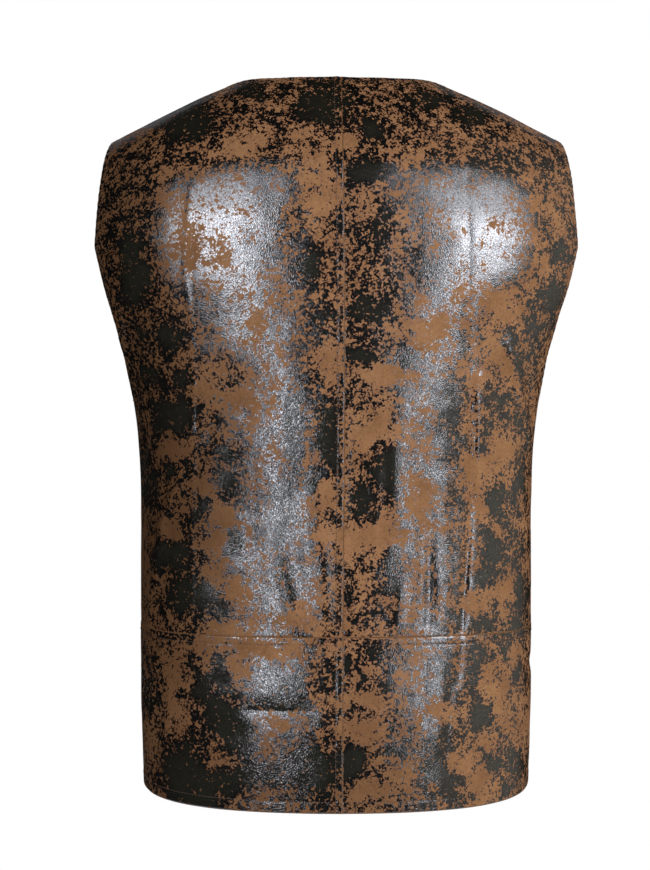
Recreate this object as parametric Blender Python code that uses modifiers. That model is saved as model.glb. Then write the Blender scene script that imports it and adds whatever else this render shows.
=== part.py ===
"""A sleeveless leather vest, hollow and filled out as if worn, with nobody in it.

Every panel is a piece of one torso surface. A place on that surface is a turn, the angle from
the centre back towards +X, and a height. Up to the yoke the height is Z. Above it the height
runs on over the shoulder blades to the shoulder ridge, where front and back meet.
Sizes are in metres. +Z is up, the wearer faces +Y and the origin is level with the neck points.
"""

import bisect
import math
from collections import namedtuple

import bmesh
import bpy
import numpy as np
from mathutils import Matrix, Vector

# Cloth and seams
WALL = 0.002
SEAM_GAP = 0.00015  # each piece stops this short of a seam's line
RIDGE_GAP = 0.0003  # the same at the shoulder, in height along the surface
LAP_LIFT = WALL + 0.0004  # the upper front lies this far above the lower one

# Heights
HEM = -0.6705  # at the side seams
HEM_DROP = 0.0055  # the hem dips this much more at the centre back and front
WAIST_SEAM = -0.516
UNDERARM = -0.305
YOKE = -0.16
CLIMB = 0.235  # from the yoke over the shoulder blade to the ridge, along the surface
RIDGE = YOKE + CLIMB
BACK_NECK_CLIMB = 0.172
NECK_TURN = 21.5  # degrees
TIP_TURN = 60.0  # degrees, at the shoulder tip
V_POINT = -0.262
ROUND = 0.187  # metres of cloth to a radian of turn, for measuring between places
FRONT_LAP = 0.018  # each front runs this far past the centre front
LAP_FROM = 0.066  # the upper front starts to lift this far before the centre front
LAP_RISE = 0.026

# Level sections, inside the cloth
SECTION_COLUMNS = ("height", "half_width", "back_depth", "front_depth", "squareness")
SECTIONS = (
    (-0.690, 0.1831, 0.1275, 0.118, 0.045),
    (-0.600, 0.1858, 0.1260, 0.117, 0.045),
    (-0.500, 0.1860, 0.1215, 0.114, 0.045),
    (-0.400, 0.1857, 0.1205, 0.113, 0.042),
    (-0.350, 0.1872, 0.1235, 0.115, 0.040),
    (-0.300, 0.1932, 0.1270, 0.118, 0.040),
    (-0.265, 0.2008, 0.1290, 0.120, 0.040),
    (-0.227, 0.2150, 0.1305, 0.121, 0.040),
    (-0.195, 0.2300, 0.1315, 0.121, 0.040),
    (YOKE, 0.2395, 0.1320, 0.120, 0.040),
)

# The shoulder ridge, from the middle of the neck out to the tip
RIDGE_COLUMNS = ("x", "z", "y")
RIDGE_LINE = (
    (0.000, 0.0115, -0.004),
    (0.050, 0.0072, -0.004),
    (0.085, -0.0002, -0.004),
    (0.100, -0.0066, -0.004),
    (0.130, -0.0192, -0.005),
    (0.160, -0.0338, -0.007),
    (0.190, -0.0492, -0.009),
    (0.2130, -0.0615, -0.011),
    (0.2450, -0.0800, -0.013),
)
RIDGE_HALF_WIDTH = 0.2352

# The centre back seam lies a little towards +X
CENTRE_SEAM_COLUMNS = ("height", "x")
CENTRE_SEAM = ((-0.690, 0.0062), (-0.500, 0.0064), (-0.300, 0.0076), (-0.160, 0.0072), (0.020, 0.0045))

# Armhole edges, from the underarm to the shoulder tip, as turn in degrees and height.
# The front's turns are from the centre front.
BACK_ARMHOLE = (
    (90.0, UNDERARM),
    (82.0, -0.286),
    (75.5, -0.258),
    (70.0, -0.228),
    (65.5, -0.198),
    (64.5, -0.160),
    (63.5, -0.080),
    (61.8, 0.000),
    (TIP_TURN, RIDGE),
)
FRONT_ARMHOLE = (
    (90.0, UNDERARM),
    (79.0, -0.290),
    (72.0, -0.262),
    (70.0, -0.230),
    (67.5, -0.198),
    (61.5, -0.155),
    (57.5, -0.080),
    (58.2, 0.000),
    (TIP_TURN, RIDGE),
)

# The largest folds: each runs from one place to another. A height above zero is a ridge.
Fold = namedtuple("Fold", ("from_x", "from_z", "to_x", "to_z", "reach", "height"))
BACK_FOLDS = (
    # towards +X, beside the armhole
    (0.158, -0.250, 0.166, -0.294, 0.009, 0.0030),
    (0.166, -0.294, 0.182, -0.345, 0.009, 0.0030),
    (0.177, -0.285, 0.185, -0.325, 0.006, -0.0028),
    # the dart towards +X, and the ridges that it throws up
    (0.119, -0.100, 0.120, -0.215, 0.005, -0.0002),
    (0.120, -0.215, 0.124, -0.370, 0.005, -0.0010),
    (0.124, -0.370, 0.114, -0.512, 0.006, -0.0014),
    (0.130, -0.285, 0.130, -0.375, 0.008, 0.0026),
    (0.122, -0.385, 0.122, -0.505, 0.008, 0.0012),
    (0.086, -0.440, 0.088, -0.505, 0.008, -0.0010),
    (0.099, -0.375, 0.101, -0.500, 0.011, 0.0013),
    # the dart towards -X
    (-0.129, -0.105, -0.131, -0.330, 0.005, 0.0003),
    (-0.131, -0.330, -0.131, -0.512, 0.005, 0.0002),
    (-0.146, -0.110, -0.150, -0.290, 0.020, 0.0004),
    # towards -X, beside the armhole
    (-0.204, -0.205, -0.196, -0.250, 0.010, 0.0034),
    (-0.196, -0.250, -0.188, -0.300, 0.010, 0.0026),
    (-0.186, -0.225, -0.184, -0.262, 0.009, -0.0030),
    (-0.172, -0.320, -0.184, -0.368, 0.007, -0.0022),
    # the long fold down to the waist
    (-0.146, -0.386, -0.160, -0.420, 0.008, 0.0028),
    (-0.160, -0.420, -0.172, -0.505, 0.008, 0.0028),
    # soft hollows of the back
    (-0.090, -0.285, -0.114, -0.326, 0.016, -0.0026),
    (-0.114, -0.326, -0.130, -0.365, 0.014, -0.0022),
    (0.026, -0.300, 0.022, -0.420, 0.012, -0.0007),
    (0.056, -0.310, 0.050, -0.430, 0.012, 0.0008),
    (-0.020, -0.390, -0.014, -0.500, 0.011, 0.0018),
    (-0.066, -0.450, -0.044, -0.508, 0.010, 0.0012),
    (-0.050, -0.430, -0.026, -0.500, 0.010, -0.0008),
    # the band below the waist
    (-0.078, -0.582, -0.024, -0.583, 0.008, -0.0004),
    (-0.084, -0.566, -0.030, -0.566, 0.012, 0.0005),
    (0.176, -0.546, 0.190, -0.556, 0.007, -0.0022),
    (-0.166, -0.545, -0.174, -0.640, 0.010, 0.0022),
)
FRONT_FOLDS = (
    (0.160, -0.245, 0.120, -0.300, 0.012, 0.0026),
    (0.176, -0.300, 0.150, -0.350, 0.010, -0.0022),
    (0.150, -0.400, 0.162, -0.500, 0.010, 0.0026),
    (0.100, -0.430, 0.108, -0.560, 0.012, -0.0022),
    (0.060, -0.380, 0.080, -0.500, 0.012, 0.0018),
    (0.130, -0.080, 0.118, -0.180, 0.014, -0.0018),
    (-0.150, -0.235, -0.112, -0.290, 0.012, 0.0026),
    (-0.170, -0.290, -0.146, -0.350, 0.010, -0.0024),
    (-0.156, -0.410, -0.166, -0.520, 0.010, 0.0028),
    (-0.110, -0.440, -0.104, -0.580, 0.012, -0.0022),
    (-0.056, -0.400, -0.076, -0.520, 0.012, 0.0020),
    (-0.124, -0.075, -0.114, -0.170, 0.014, -0.0018),
)

# Where a side's rows or columns turn a corner, as a share of the side
BACK_NECK_SHARE = 0.44
BACK_UNDERARM_SHARE = 0.43
FRONT_UNDERARM_SHARE = 0.56
FRONT_POINT_SHARE = 0.57
NECKLINE_BOW = 0.9  # below 1 the V neckline bows outwards

# Grids of the panels: columns across, rows up
UPPER_GRID = (19, 37)
BAND_GRID = (19, 8)
FRONT_GRID = (16, 30)

# Buttons on the upper front
BUTTON_HEIGHTS = (-0.285, -0.375, -0.465, -0.555)
BUTTON_RADIUS = 0.009
BUTTON_THICKNESS = 0.0036
BUTTON_SEAT = 0.0003
BUTTON_STEPS = 20

LEATHER = (0.27, 0.135, 0.065, 1.0)
BUTTON_BLACK = (0.02, 0.018, 0.016, 1.0)


def clear_scene():
    for item in list(bpy.data.objects):
        bpy.data.objects.remove(item, do_unlink=True)


def new_collection(name):
    made = bpy.data.collections.new(name)
    bpy.context.scene.collection.children.link(made)
    return made


def new_material(name, colour, roughness):
    made = bpy.data.materials.new(name)
    made.use_nodes = True
    made.diffuse_color = colour
    shader = made.node_tree.nodes["Principled BSDF"]
    shader.inputs["Base Color"].default_value = colour
    shader.inputs["Roughness"].default_value = roughness
    shader.inputs["Metallic"].default_value = 0.0
    return made


class Smooth:
    """A smooth curve through the values that are known at some places."""

    def __init__(self, known, value):
        self.known = list(known)
        self.value = list(value)
        self.slope = [float(s) for s in np.gradient(self.value, self.known)]

    def __call__(self, at):
        i = min(max(bisect.bisect_left(self.known, at) - 1, 0), len(self.known) - 2)
        span = self.known[i + 1] - self.known[i]
        s = min(max((at - self.known[i]) / span, 0.0), 1.0)
        start = (1 + 2 * s) * self.value[i] + s * span * self.slope[i]
        end = (3 - 2 * s) * self.value[i + 1] + (s - 1) * span * self.slope[i + 1]
        return start * (1 - s) ** 2 + end * s * s


def curves(table, columns):
    """A smooth curve of each column over the first one."""
    known, *values = zip(*table)
    return [Smooth(known, value) for value in values]


half_width_at, back_depth_at, front_depth_at, squareness_at = curves(SECTIONS, SECTION_COLUMNS)
ridge_z_at, ridge_y_at = curves(RIDGE_LINE, RIDGE_COLUMNS)
(centre_seam_at,) = curves(CENTRE_SEAM, CENTRE_SEAM_COLUMNS)


def across(turn, squareness):
    """How far towards the side a section has come, from 0 at the centre to 1 at the side seam."""
    return (math.sin(turn) + squareness * math.sin(3 * turn)) / (1 - squareness)


def hem_height(turn):
    return HEM - HEM_DROP * math.cos(turn) ** 2


def torso(turn, height):
    """A point on the inside of the cloth before it folds."""
    level = min(height, YOKE)
    depth = back_depth_at(level) if math.cos(turn) > 0 else front_depth_at(level)
    squareness = squareness_at(level)
    share = across(turn, squareness)
    x = half_width_at(level) * share
    y = -depth * (math.cos(turn) - squareness * math.cos(3 * turn)) / (1 - squareness)
    if height <= YOKE:
        return Vector((x, y, height))
    climb = math.pi / 2 * (height - YOKE) / CLIMB
    x += (RIDGE_HALF_WIDTH * share - x) * math.sin(climb)
    ridge_y = ridge_y_at(abs(x))
    z = YOKE + (ridge_z_at(abs(x)) - YOKE) * math.sin(climb)
    return Vector((x, ridge_y + (y - ridge_y) * math.cos(climb), z))


def outward(turn, height):
    step = 0.0005
    along = torso(turn + step, height) - torso(turn - step, height)
    up = torso(turn, height + step) - torso(turn, height - step)
    return along.cross(up).normalized()


def turn_at(x, height):
    """The turn in the back half where the torso is x from the middle."""
    low, high = -math.pi / 2, math.pi / 2
    for _ in range(18):
        middle = (low + high) / 2
        if torso(middle, height).x < x:
            low = middle
        else:
            high = middle
    return (low + high) / 2


def height_at(x, z):
    """The height along the surface where the torso reaches z."""
    if z <= YOKE:
        return z
    share = min((z - YOKE) / (ridge_z_at(abs(x)) - YOKE), 1.0)
    return YOKE + CLIMB * math.asin(share) * 2 / math.pi


def places(folds, is_front):
    """The folds on the surface, as flat coordinates in metres, each with its bend at mid-way."""
    made = []
    for row in folds:
        shape = Fold(*row)
        spots = []
        for share in (0.0, 0.5, 1.0):
            x = shape.from_x + (shape.to_x - shape.from_x) * share
            z = shape.from_z + (shape.to_z - shape.from_z) * share
            up = height_at(x, z)
            turn = turn_at(x, up)
            if is_front:
                turn = math.pi - turn
            spots.append(Vector((turn * ROUND, up)))
        start, middle, end = spots
        made.append((start, end, middle - (start + end) / 2, shape.reach, shape.height))
    return made


FOLD_PLACES = places(BACK_FOLDS, False) + places(FRONT_FOLDS, True)


def fold(turn, height):
    """How far the folds push the cloth out at a place."""
    here = Vector(((turn % (2 * math.pi)) * ROUND, height))
    if math.cos(turn) > 0:
        here.x = math.remainder(turn, 2 * math.pi) * ROUND
    total = 0.0
    for start, end, bend, reach, depth in FOLD_PLACES:
        along = end - start
        share = min(max((here - start).dot(along) / along.length_squared, 0.0), 1.0)
        away = (here - start - share * along - 4 * share * (1 - share) * bend).length / reach
        if away < 3.0:
            total += depth * math.exp(-away * away)
    return total


def lap(x):
    """How far the upper front is lifted, x from the middle, to lie on the lower one."""
    share = min(max((x + LAP_FROM) / LAP_RISE, 0.0), 1.0)
    return LAP_LIFT * share * share * (3 - 2 * share)


def edge(table):
    """A smooth edge through a table's places, read by the share of its length."""
    points = [(math.radians(turn) * ROUND, height) for turn, height in table]
    length = [0.0]
    for before, after in zip(points, points[1:]):
        length.append(length[-1] + math.dist(before, after))
    turn_along = Smooth(length, [p[0] for p in points])
    height_along = Smooth(length, [p[1] for p in points])
    return lambda share: (turn_along(share * length[-1]) / ROUND, height_along(share * length[-1]))


def blend(sides, columns, rows):
    """A grid of places inside a four-sided outline, blended from its sides."""
    low, high, bottom, top = sides
    u = np.linspace(0, 1, columns)[None, :, None]
    v = np.linspace(0, 1, rows)[:, None, None]
    lows = np.array([low(share) for share in v.ravel()])[:, None]
    highs = np.array([high(share) for share in v.ravel()])[:, None]
    bottoms = np.array([bottom(share) for share in u.ravel()])[None]
    tops = np.array([top(share) for share in u.ravel()])[None]
    corners = (1 - v) * ((1 - u) * bottoms[:, :1] + u * bottoms[:, -1:])
    corners = corners + v * ((1 - u) * tops[:, :1] + u * tops[:, -1:])
    return (1 - u) * lows + u * highs + (1 - v) * bottoms + v * tops - corners


def panel(name, home, material, sides, grid, side, lift=None):
    """A wall of cloth on the torso. sides are its outline on the +X half; side mirrors it."""
    columns, rows = grid
    bm = bmesh.new()
    points = []
    for row in blend(sides, columns, rows):
        line = []
        for turn, height in row.tolist():
            turn *= side
            inside = torso(turn, height)
            push = fold(turn, height) + (lift(inside.x) if lift else 0.0)
            line.append(bm.verts.new(inside + push * outward(turn, height)))
        points.append(line)
    for j in range(rows - 1):
        for i in range(columns - 1):
            corners = (points[j][i], points[j][i + 1], points[j + 1][i + 1], points[j + 1][i])
            bm.faces.new(corners if side > 0 else corners[::-1])
    mesh = bpy.data.meshes.new(name)
    bm.to_mesh(mesh)
    bm.free()
    mesh.shade_smooth()
    made = bpy.data.objects.new(name, mesh)
    made.data.materials.append(material)
    home.objects.link(made)
    wall = made.modifiers.new("Wall", "SOLIDIFY")
    wall.thickness = WALL
    wall.offset = 1.0
    return made


def centre_seam(side):
    """The centre back seam's turn, seen from one half, a gap away from its line."""

    def at(height):
        return turn_at(side * centre_seam_at(height) + SEAM_GAP, min(height, YOKE))

    return at


def back_upper_sides(side):
    seam = centre_seam(side)
    side_turn = math.radians(90) - SEAM_GAP / ROUND
    bottom_height = WAIST_SEAM + SEAM_GAP
    neck_height = YOKE + BACK_NECK_CLIMB
    neck_turn = math.radians(NECK_TURN)
    tip_turn = math.radians(TIP_TURN)
    armhole = edge(BACK_ARMHOLE)

    def low(v):
        height = bottom_height + (neck_height - bottom_height) * v
        return seam(height), height

    def high(v):
        if v < BACK_UNDERARM_SHARE:
            return side_turn, bottom_height + (UNDERARM - bottom_height) * v / BACK_UNDERARM_SHARE
        turn, height = armhole((v - BACK_UNDERARM_SHARE) / (1 - BACK_UNDERARM_SHARE))
        return min(turn, side_turn), min(height, RIDGE - RIDGE_GAP)

    def bottom(u):
        start = seam(bottom_height)
        return start + (side_turn - start) * u, bottom_height

    def top(u):
        start = seam(neck_height)
        if u < BACK_NECK_SHARE:
            turn = start + (neck_turn - start) * math.sin(math.pi / 2 * u / BACK_NECK_SHARE)
            rise = 1 - math.cos(math.pi / 2 * u / BACK_NECK_SHARE)
            return turn, neck_height + (RIDGE - RIDGE_GAP - neck_height) * rise
        turn = neck_turn + (tip_turn - neck_turn) * (u - BACK_NECK_SHARE) / (1 - BACK_NECK_SHARE)
        return turn, RIDGE - RIDGE_GAP

    return low, high, bottom, top


def back_band_sides(side):
    seam = centre_seam(side)
    side_turn = math.radians(90) - SEAM_GAP / ROUND
    top_height = WAIST_SEAM - SEAM_GAP
    seam_foot = hem_height(0)

    def low(v):
        height = seam_foot + (top_height - seam_foot) * v
        return seam(height), height

    def high(v):
        return side_turn, HEM + (top_height - HEM) * v

    def bottom(u):
        start = seam(seam_foot)
        turn = start + (side_turn - start) * u
        return turn, hem_height(turn) if u > 0 else seam_foot

    def top(u):
        start = seam(top_height)
        return start + (side_turn - start) * u, top_height

    return low, high, bottom, top


def front_sides():
    """The front's outline, from the side seam round to its edge past the centre front."""
    side_turn = math.radians(90) + SEAM_GAP / ROUND
    neck_turn = math.radians(180 - NECK_TURN)
    tip_turn = math.radians(180 - TIP_TURN)
    armhole = edge(FRONT_ARMHOLE)

    def past_centre(height):
        return math.pi - turn_at(-FRONT_LAP, height)

    edge_foot = hem_height(past_centre(HEM))

    def low(v):
        if v < FRONT_UNDERARM_SHARE:
            return side_turn, HEM + (UNDERARM - HEM) * v / FRONT_UNDERARM_SHARE
        turn, height = armhole((v - FRONT_UNDERARM_SHARE) / (1 - FRONT_UNDERARM_SHARE))
        return max(math.pi - turn, side_turn), min(height, RIDGE - RIDGE_GAP)

    def high(v):
        if v < FRONT_POINT_SHARE:
            height = edge_foot + (V_POINT - edge_foot) * v / FRONT_POINT_SHARE
            return past_centre(height), height
        share = (v - FRONT_POINT_SHARE) / (1 - FRONT_POINT_SHARE)
        start = past_centre(V_POINT)
        turn = start + (neck_turn - start) * share ** NECKLINE_BOW
        return turn, V_POINT + (RIDGE - RIDGE_GAP - V_POINT) * share

    def bottom(u):
        turn = side_turn + (past_centre(HEM) - side_turn) * u
        return turn, hem_height(turn)

    def top(u):
        return tip_turn + (neck_turn - tip_turn) * u, RIDGE - RIDGE_GAP

    return low, high, bottom, top


def button(name, home, material, height):
    """A turned button with a rim and a dished face, seated on the upper front."""
    r, t = BUTTON_RADIUS, BUTTON_THICKNESS
    profile = (
        (0.0, 0.72 * t),
        (0.55 * r, 0.72 * t),
        (0.74 * r, t),
        (0.90 * r, t),
        (r, 0.65 * t),
        (0.93 * r, 0.0),
        (0.0, 0.0),
    )
    mesh = bpy.data.meshes.new(name)
    line = [(across_face, 0.0, up) for across_face, up in profile]
    mesh.from_pydata(line, [(i, i + 1) for i in range(len(line) - 1)], [])
    made = bpy.data.objects.new(name, mesh)
    made.data.materials.append(material)
    home.objects.link(made)
    turned = made.modifiers.new("Turned", "SCREW")
    turned.steps = BUTTON_STEPS
    turned.render_steps = BUTTON_STEPS
    turned.use_merge_vertices = True
    turned.merge_threshold = 0.00001
    facing = outward(math.pi, height)
    out = lap(0.0) + fold(math.pi, height) + WALL + BUTTON_SEAT
    place = torso(math.pi, height) + facing * out
    made.matrix_world = Matrix.Translation(place) @ facing.to_track_quat("Z", "Y").to_matrix().to_4x4()
    return made


def main():
    clear_scene()
    home = new_collection("leather_vest")
    leather = new_material("leather", LEATHER, 0.45)
    black = new_material("button_black", BUTTON_BLACK, 0.35)
    for side, word in ((1, "right"), (-1, "left")):
        panel(f"back_{word}", home, leather, back_upper_sides(side), UPPER_GRID, side)
        panel(f"back_band_{word}", home, leather, back_band_sides(side), BAND_GRID, side)
    panel("front_right", home, leather, front_sides(), FRONT_GRID, 1)
    panel("front_left", home, leather, front_sides(), FRONT_GRID, -1, lift=lap)
    for number, height in enumerate(BUTTON_HEIGHTS, start=1):
        button(f"button_{number}", home, black, height)


main()
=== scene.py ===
"""Looks of the worn leather vest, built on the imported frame.

Each panel's solid gets a finer thin shell on the same torso surface, with its creases, seams,
turned edges and sewing. A place on the surface is a turn, the angle from the centre back
towards +X, and a height. Sizes are in metres. +Z is up and the wearer faces +Y.
"""

import math
from collections import namedtuple

import bpy
import numpy as np
from mathutils import Matrix, Vector, noise

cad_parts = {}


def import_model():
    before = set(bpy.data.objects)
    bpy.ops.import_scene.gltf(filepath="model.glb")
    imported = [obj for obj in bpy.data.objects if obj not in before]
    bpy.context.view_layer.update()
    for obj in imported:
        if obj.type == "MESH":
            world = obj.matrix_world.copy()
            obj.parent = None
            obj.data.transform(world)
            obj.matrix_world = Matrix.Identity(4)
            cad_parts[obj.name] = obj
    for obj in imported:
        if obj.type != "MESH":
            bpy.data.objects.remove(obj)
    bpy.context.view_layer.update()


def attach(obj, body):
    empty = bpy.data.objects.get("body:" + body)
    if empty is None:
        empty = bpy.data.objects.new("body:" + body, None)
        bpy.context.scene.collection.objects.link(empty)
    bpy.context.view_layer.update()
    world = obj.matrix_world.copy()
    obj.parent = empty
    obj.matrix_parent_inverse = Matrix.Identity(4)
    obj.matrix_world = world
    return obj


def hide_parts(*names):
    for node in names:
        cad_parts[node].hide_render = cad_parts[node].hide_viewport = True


# Cloth and seams, as in the part but for the two gaps, which are closed to hairlines here
WALL = 0.002
SEAM_GAP = 0.00002  # each panel stops this short of a seam's line
RIDGE_GAP = 0.00004  # the same at the shoulder, in height along the surface
LAP_LIFT = WALL + 0.0004  # the upper front lies this far above the lower one
HEM = -0.6705  # at the side seams
HEM_DROP = 0.0055  # the hem dips this much more at the centre back and front
WAIST_SEAM = -0.516
UNDERARM = -0.305
YOKE = -0.16
CLIMB = 0.235  # from the yoke over the shoulder blade to the ridge, along the surface
RIDGE = YOKE + CLIMB
BACK_NECK_CLIMB = 0.172
NECK_TURN = 21.5  # degrees
TIP_TURN = 60.0  # degrees, at the shoulder tip
V_POINT = -0.262
FRONT_LAP = 0.018  # each front runs this far past the centre front
LAP_FROM = 0.066  # the upper front starts to lift this far before the centre front
LAP_RISE = 0.026
RIDGE_HALF_WIDTH = 0.2352
ROUND = 0.187  # metres of cloth to a radian of turn

# Where a panel's side turns a corner, as a share of that side
BACK_NECK_SHARE = 0.44
BACK_UNDERARM_SHARE = 0.43
FRONT_UNDERARM_SHARE = 0.56
FRONT_POINT_SHARE = 0.57
NECK_CURVE = 0.9  # below one the V neck's edges bow towards the middle of the front

# Level sections: height, half width, back depth, front depth, squareness
SECTIONS = (
    (-0.690, 0.1831, 0.1275, 0.118, 0.045),
    (-0.600, 0.1858, 0.1260, 0.117, 0.045),
    (-0.500, 0.1860, 0.1215, 0.114, 0.045),
    (-0.400, 0.1857, 0.1205, 0.113, 0.042),
    (-0.350, 0.1872, 0.1235, 0.115, 0.040),
    (-0.300, 0.1932, 0.1270, 0.118, 0.040),
    (-0.265, 0.2008, 0.1290, 0.120, 0.040),
    (-0.227, 0.2150, 0.1305, 0.121, 0.040),
    (-0.195, 0.2300, 0.1315, 0.121, 0.040),
    (YOKE, 0.2395, 0.1320, 0.120, 0.040),
)
# Shoulder ridge: x, z, y
RIDGE_LINE = (
    (0.000, 0.0115, -0.004),
    (0.050, 0.0072, -0.004),
    (0.085, -0.0002, -0.004),
    (0.100, -0.0066, -0.004),
    (0.130, -0.0192, -0.005),
    (0.160, -0.0338, -0.007),
    (0.190, -0.0492, -0.009),
    (0.2130, -0.0615, -0.011),
    (0.2450, -0.0800, -0.013),
)
# Centre back seam: height, x
CENTRE_SEAM = ((-0.690, 0.0062), (-0.500, 0.0064), (-0.300, 0.0076), (-0.160, 0.0072), (0.020, 0.0045))
# Armhole edges: turn in degrees, height. The front's turns are from the centre front
BACK_ARMHOLE = (
    (90.0, UNDERARM), (82.0, -0.286), (75.5, -0.258), (70.0, -0.228), (65.5, -0.198),
    (64.5, -0.160), (63.5, -0.080), (61.8, 0.000), (TIP_TURN, RIDGE),
)
FRONT_ARMHOLE = (
    (90.0, UNDERARM), (79.0, -0.290), (72.0, -0.262), (70.0, -0.230), (67.5, -0.198),
    (61.5, -0.155), (57.5, -0.080), (58.2, 0.000), (TIP_TURN, RIDGE),
)

Fold = namedtuple("Fold", ("from_x", "from_z", "to_x", "to_z", "reach", "height"))
# Largest folds, as in the part, but five small ones of the back are shallower here. A height
# above zero is a ridge
BACK_FOLDS = (
    (0.158, -0.250, 0.166, -0.294, 0.009, 0.0030),
    (0.166, -0.294, 0.182, -0.345, 0.009, 0.0030),
    (0.177, -0.285, 0.185, -0.325, 0.006, -0.0028),
    (0.119, -0.100, 0.120, -0.215, 0.005, -0.0002),
    (0.120, -0.215, 0.124, -0.370, 0.005, -0.0010),
    (0.124, -0.370, 0.114, -0.512, 0.006, -0.0014),
    (0.130, -0.285, 0.130, -0.375, 0.008, 0.0026),
    (0.122, -0.385, 0.122, -0.505, 0.008, 0.0007),
    (0.086, -0.440, 0.088, -0.505, 0.008, -0.0005),
    (0.099, -0.375, 0.101, -0.500, 0.011, 0.0007),
    (-0.129, -0.105, -0.131, -0.330, 0.005, 0.0003),
    (-0.131, -0.330, -0.131, -0.512, 0.005, 0.0002),
    (-0.146, -0.110, -0.150, -0.290, 0.020, 0.0004),
    (-0.204, -0.205, -0.196, -0.250, 0.010, 0.0034),
    (-0.196, -0.250, -0.188, -0.300, 0.010, 0.0026),
    (-0.186, -0.225, -0.184, -0.262, 0.009, -0.0030),
    (-0.172, -0.320, -0.184, -0.368, 0.007, -0.0022),
    (-0.146, -0.386, -0.160, -0.420, 0.008, 0.0028),
    (-0.160, -0.420, -0.172, -0.505, 0.008, 0.0028),
    (-0.090, -0.285, -0.114, -0.326, 0.016, -0.0026),
    (-0.114, -0.326, -0.130, -0.365, 0.014, -0.0022),
    (0.026, -0.300, 0.022, -0.420, 0.012, -0.0007),
    (0.056, -0.310, 0.050, -0.430, 0.012, 0.0008),
    (-0.020, -0.390, -0.014, -0.500, 0.011, 0.0018),
    (-0.066, -0.450, -0.044, -0.508, 0.010, 0.0006),
    (-0.050, -0.430, -0.026, -0.500, 0.010, -0.0004),
    (-0.078, -0.582, -0.024, -0.583, 0.008, -0.0004),
    (-0.084, -0.566, -0.030, -0.566, 0.012, 0.0005),
    (0.176, -0.546, 0.190, -0.556, 0.007, -0.0022),
    (-0.166, -0.545, -0.174, -0.640, 0.010, 0.0022),
)
FRONT_FOLDS = (
    (0.160, -0.245, 0.120, -0.300, 0.012, 0.0026),
    (0.176, -0.300, 0.150, -0.350, 0.010, -0.0022),
    (0.150, -0.400, 0.162, -0.500, 0.010, 0.0026),
    (0.100, -0.430, 0.108, -0.560, 0.012, -0.0022),
    (0.060, -0.380, 0.080, -0.500, 0.012, 0.0018),
    (0.130, -0.080, 0.118, -0.180, 0.014, -0.0018),
    (-0.150, -0.235, -0.112, -0.290, 0.012, 0.0026),
    (-0.170, -0.290, -0.146, -0.350, 0.010, -0.0024),
    (-0.156, -0.410, -0.166, -0.520, 0.010, 0.0028),
    (-0.110, -0.440, -0.104, -0.580, 0.012, -0.0022),
    (-0.056, -0.400, -0.076, -0.520, 0.012, 0.0020),
    (-0.124, -0.075, -0.114, -0.170, 0.014, -0.0018),
)

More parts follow.
